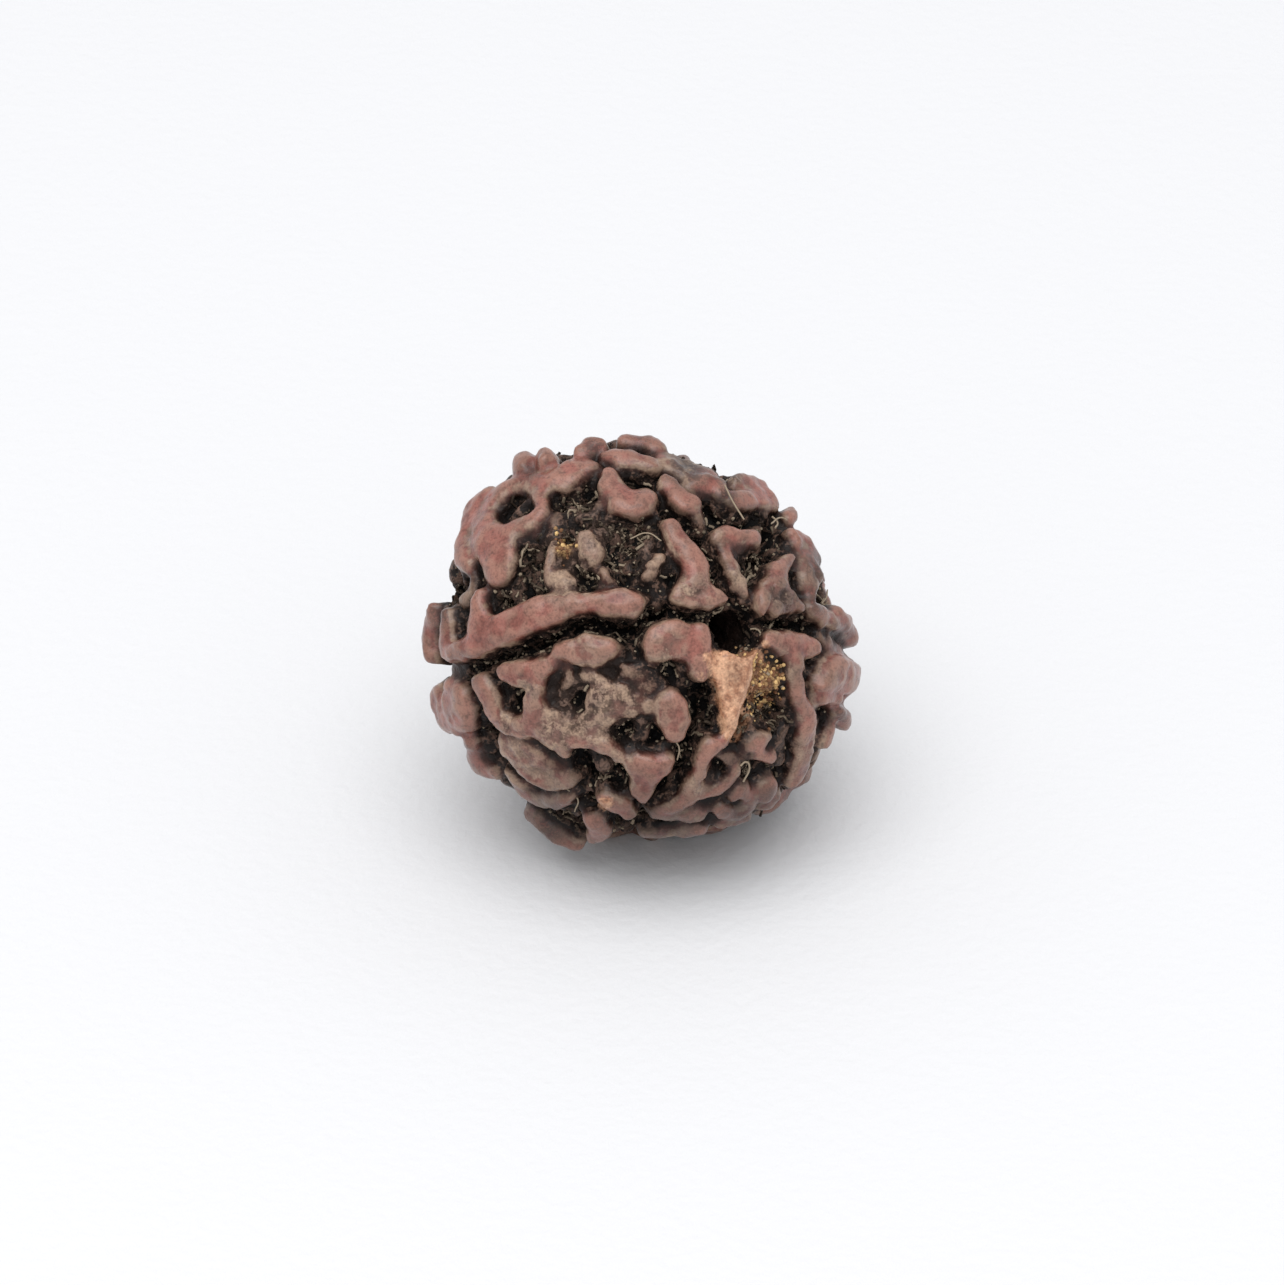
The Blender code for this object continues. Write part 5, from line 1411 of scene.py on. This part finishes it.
class WoodLook(bpy.types.PropertyGroup):
    """The colours of the wood and of what lies on it."""

    ridge_colour: tint("Ridges", "Polished ridge tops", 157, 97, 84)
    ridge_dark_colour: tint("Darker ridges", "Redder patches of the ridge tops", 121, 69, 58)
    ridge_pale_colour: tint("Paler ridges", "Worn flecks on the ridge tops", 168, 119, 104)
    dull_colour: tint("Dull ridges", "Ridges that have weathered grey", 126, 95, 82)
    # Painted shade: the ridges' sides take this darker brown, which stands in for their shade as well as
    # browner wood
    side_brown_and_shade_colour: tint("Sides", "Browner sides of the ridges", 54, 34, 29)
    edge_colour: tint("Rims", "The pale rims of the ridges", 166, 139, 118)
    weathered_colour: tint("Crust", "Dry crust on some plateaus", 130, 106, 94)
    crust_dark_colour: tint("Darker crust", "Between the lumps of the crust", 62, 47, 40)
    fleck_colour: tint("Flecks", "Pale flecks in the crust", 180, 156, 134)
    crevice_colour: tint("Slopes", "The ridges' slopes", 31, 22, 19)
    soil_colour: tint("Soil", "Dark soil on the floor of the pits", 16, 12, 11)
    dust_colour: tint("Dust", "Dusty lumps in the pits", 116, 90, 77)
    bare_colour: tint("Bare wood", "Fresh orange wood on the tongue", 184, 127, 94)
    bare_pale_colour: tint("Pale bare wood", "Paler streaks in the fresh wood", 216, 168, 134)
    amber_colour: tint("Amber", "The crust beside the tongue", 184, 148, 102)
    amber_dark_colour: tint("Dark amber", "Hollows of that crust", 116, 80, 56)
    bore_colour: tint("Bore", "The wall of the bore", 44, 29, 23)
    ridge_roughness: fraction("Roughness", "Roughness of the ridge tops", 0.33)
    polish: fraction("Polish", "How strongly the ridge tops shine", 0.6)


class PulpForm(bpy.types.PropertyGroup):
    """The dried pulp in the pits. Each density is that on a square metre where it lies densest."""

    fibre_density: number("Fibres", "Fibres on a square metre of pulp", 1.0e7)
    fibre_length: length("Fibre length", "Length of a fibre before it curls", 0.75)
    fibre_radius: length("Fibre radius", "Half the thickness of a fibre", 0.08)
    fibre_curl: length("Fibre curl", "How far a fibre strays from straight", 1.3)
    scrap_density: number("Scraps", "Scraps on a square metre of soil", 4.5e6)
    scrap_length: length("Scrap length", "Length of a short thick scrap of fibre", 0.42)
    scrap_radius: length("Scrap radius", "Half the thickness of a scrap", 0.085)
    scrap_curl: length("Scrap curl", "How far a scrap strays from straight", 0.4)
    crumb_density: number("Crumbs", "Crumbs on a square metre of soil", 1.2e7)
    crumb_size: length("Crumb size", "Radius of a crumb", 0.095)
    grain_density: number("Golden grains", "Golden grains on a square metre", 5.0e7)
    grain_size: length("Grain size", "Radius of a golden grain", 0.11)
    fibre_colour: tint("Fibres", "Dry pale fibres", 152, 136, 116)
    fibre_dark_colour: tint("Darker fibres", "Browner fibres", 50, 39, 31)
    crumb_colour: tint("Crumbs", "Pale crumbs", 150, 134, 114)
    crumb_dark_colour: tint("Darker crumbs", "Brown crumbs", 38, 28, 23)
    golden_colour: tint("Golden grains", "Bright resin-like grains", 216, 180, 124)


class StageForm(bpy.types.PropertyGroup):
    """The floor, the light and the camera. Their colours are shares of the light, not screen colours."""

    floor_size: length("Floor", "Width of the floor", 1200)
    floor_colour: FloatVectorProperty(name="Floor colour", description="The card's colour", size=4,
                                      default=(0.72, 0.72, 0.73, 1.0), subtype="COLOR", min=0, max=1)
    lamp_size: length("Lamp size", "Width of the overhead light", 700)
    lamp_power: number("Lamp power", "Strength of the overhead light", 3.1, unit="POWER")
    room_strength: number("Room light", "Strength of the light from all round", 0.82)
    room_colour: FloatVectorProperty(name="Room colour", description="Colour of the light from all round",
                                     default=(0.97, 0.98, 1.0), subtype="COLOR", min=0, max=1)
    camera_distance: length("Camera distance", "From the stone's middle to the camera", 450)


def dressed(piece):
    """Makes the piece part of the object: it moves with it."""
    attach(piece, "root")
    return piece


def strew(name, tree, material, draw, values):
    """Lays what the tree makes on the stone, as a piece of its own."""
    stone = bpy.data.objects["stone"].data
    dressed(tree.run(name, stone, values | {"Seed": draw, "Material": material}))


class SEED_OT_stone(bpy.types.Operator):
    """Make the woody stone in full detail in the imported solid's place"""

    bl_idname = "seed.stone"
    bl_label = "Stone"

    def execute(self, context):
        stone = make_stone(context.scene.seed_form, context.scene.seed_look)
        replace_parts(dressed(stone), "seed")
        return {"FINISHED"}


class SEED_OT_fibres(bpy.types.Operator):
    """Lay curled fibres of dried pulp in the pits, and short scraps of them over all their floors"""

    bl_idname = "seed.fibres"
    bl_label = "Fibres"

    def execute(self, context):
        pulp = context.scene.seed_pulp
        material = pulp_finish("dry_fibre", pulp.fibre_colour, pulp.fibre_dark_colour, 0.7)
        strew("pulp_fibres", fibre_tree("pulp"), material, FIBRE_DRAW, {
            "Density": pulp.fibre_density,
            "Size": pulp.fibre_length,
            "Radius": pulp.fibre_radius,
            "Unevenness": pulp.fibre_curl,
        })
        strew("pulp_scraps", fibre_tree("soil"), material, SCRAP_DRAW, {
            "Density": pulp.scrap_density,
            "Size": pulp.scrap_length,
            "Radius": pulp.scrap_radius,
            "Unevenness": pulp.scrap_curl,
        })
        return {"FINISHED"}


class SEED_OT_crumbs(bpy.types.Operator):
    """Strew crumbs of dried pulp in the pits"""

    bl_idname = "seed.crumbs"
    bl_label = "Crumbs"

    def execute(self, context):
        pulp = context.scene.seed_pulp
        material = pulp_finish("dry_crumb", pulp.crumb_colour, pulp.crumb_dark_colour, 0.8)
        strew("pulp_crumbs", crumb_tree("soil"), material, CRUMB_DRAW, {
            "Density": pulp.crumb_density,
            "Size": pulp.crumb_size,
            "Unevenness": pulp.crumb_size,
        })
        return {"FINISHED"}


class SEED_OT_golden_grains(bpy.types.Operator):
    """Strew the bright grains beside the bare tongue"""

    bl_idname = "seed.golden_grains"
    bl_label = "Golden grains"

    def execute(self, context):
        pulp, look = context.scene.seed_pulp, context.scene.seed_look
        material = pulp_finish("golden_grain", pulp.golden_colour, look.amber_dark_colour, 0.5)
        strew("golden_grains", crumb_tree("gold"), material, GOLD_DRAW, {
            "Density": pulp.grain_density,
            "Size": pulp.grain_size,
            "Unevenness": pulp.grain_size,
        })
        return {"FINISHED"}


class SEED_OT_hairs(bpy.types.Operator):
    """Lay the few long hairs over the pits"""

    bl_idname = "seed.hairs"
    bl_label = "Long hairs"

    def execute(self, context):
        pulp = context.scene.seed_pulp
        material = pulp_finish("dry_hair", pulp.fibre_colour, pulp.fibre_dark_colour, 0.6)
        dressed(make_hairs(Vector(bpy.data.objects["stone"]["centre"]), material))
        return {"FINISHED"}


class SEED_OT_stage(bpy.types.Operator):
    """Set the floor, the light and the camera"""

    bl_idname = "seed.stage"
    bl_label = "Stage"

    def execute(self, context):
        stage = context.scene.seed_stage
        make_floor(stage)
        make_lights(stage)
        make_camera(stage, Vector(bpy.data.objects["stone"]["centre"]))
        context.scene.view_settings.view_transform = "Standard"
        return {"FINISHED"}


STEPS = (SEED_OT_stone, SEED_OT_fibres, SEED_OT_crumbs, SEED_OT_golden_grains, SEED_OT_hairs, SEED_OT_stage)
GROUPS = {"seed_form": StoneForm, "seed_look": WoodLook, "seed_pulp": PulpForm, "seed_stage": StageForm}


class SEED_PT_panel(bpy.types.Panel):
    """Lists what the seed is made of"""

    bl_idname = "SEED_PT_panel"
    bl_label = "Rudraksha seed"
    bl_space_type = "VIEW_3D"
    bl_region_type = "UI"
    bl_category = "Seed"

    def draw(self, context):
        for name in GROUPS:
            group = getattr(context.scene, name)
            box = self.layout.box()
            for field in group.bl_rna.properties:
                if field.identifier not in {"rna_type", "name"}:
                    box.prop(group, field.identifier)
        for step in STEPS:
            self.layout.operator(step.bl_idname)


def register():
    for kind in (*GROUPS.values(), *STEPS, SEED_PT_panel):
        bpy.utils.register_class(kind)
    for name, group in GROUPS.items():
        setattr(bpy.types.Scene, name, PointerProperty(type=group))


def unregister():
    for name in GROUPS:
        delattr(bpy.types.Scene, name)
    for kind in reversed((*GROUPS.values(), *STEPS, SEED_PT_panel)):
        bpy.utils.unregister_class(kind)


def main():
    register()
    for step in STEPS:
        group, name = step.bl_idname.split(".")
        getattr(getattr(bpy.ops, group), name)()


if __name__ == "__main__":
    main()
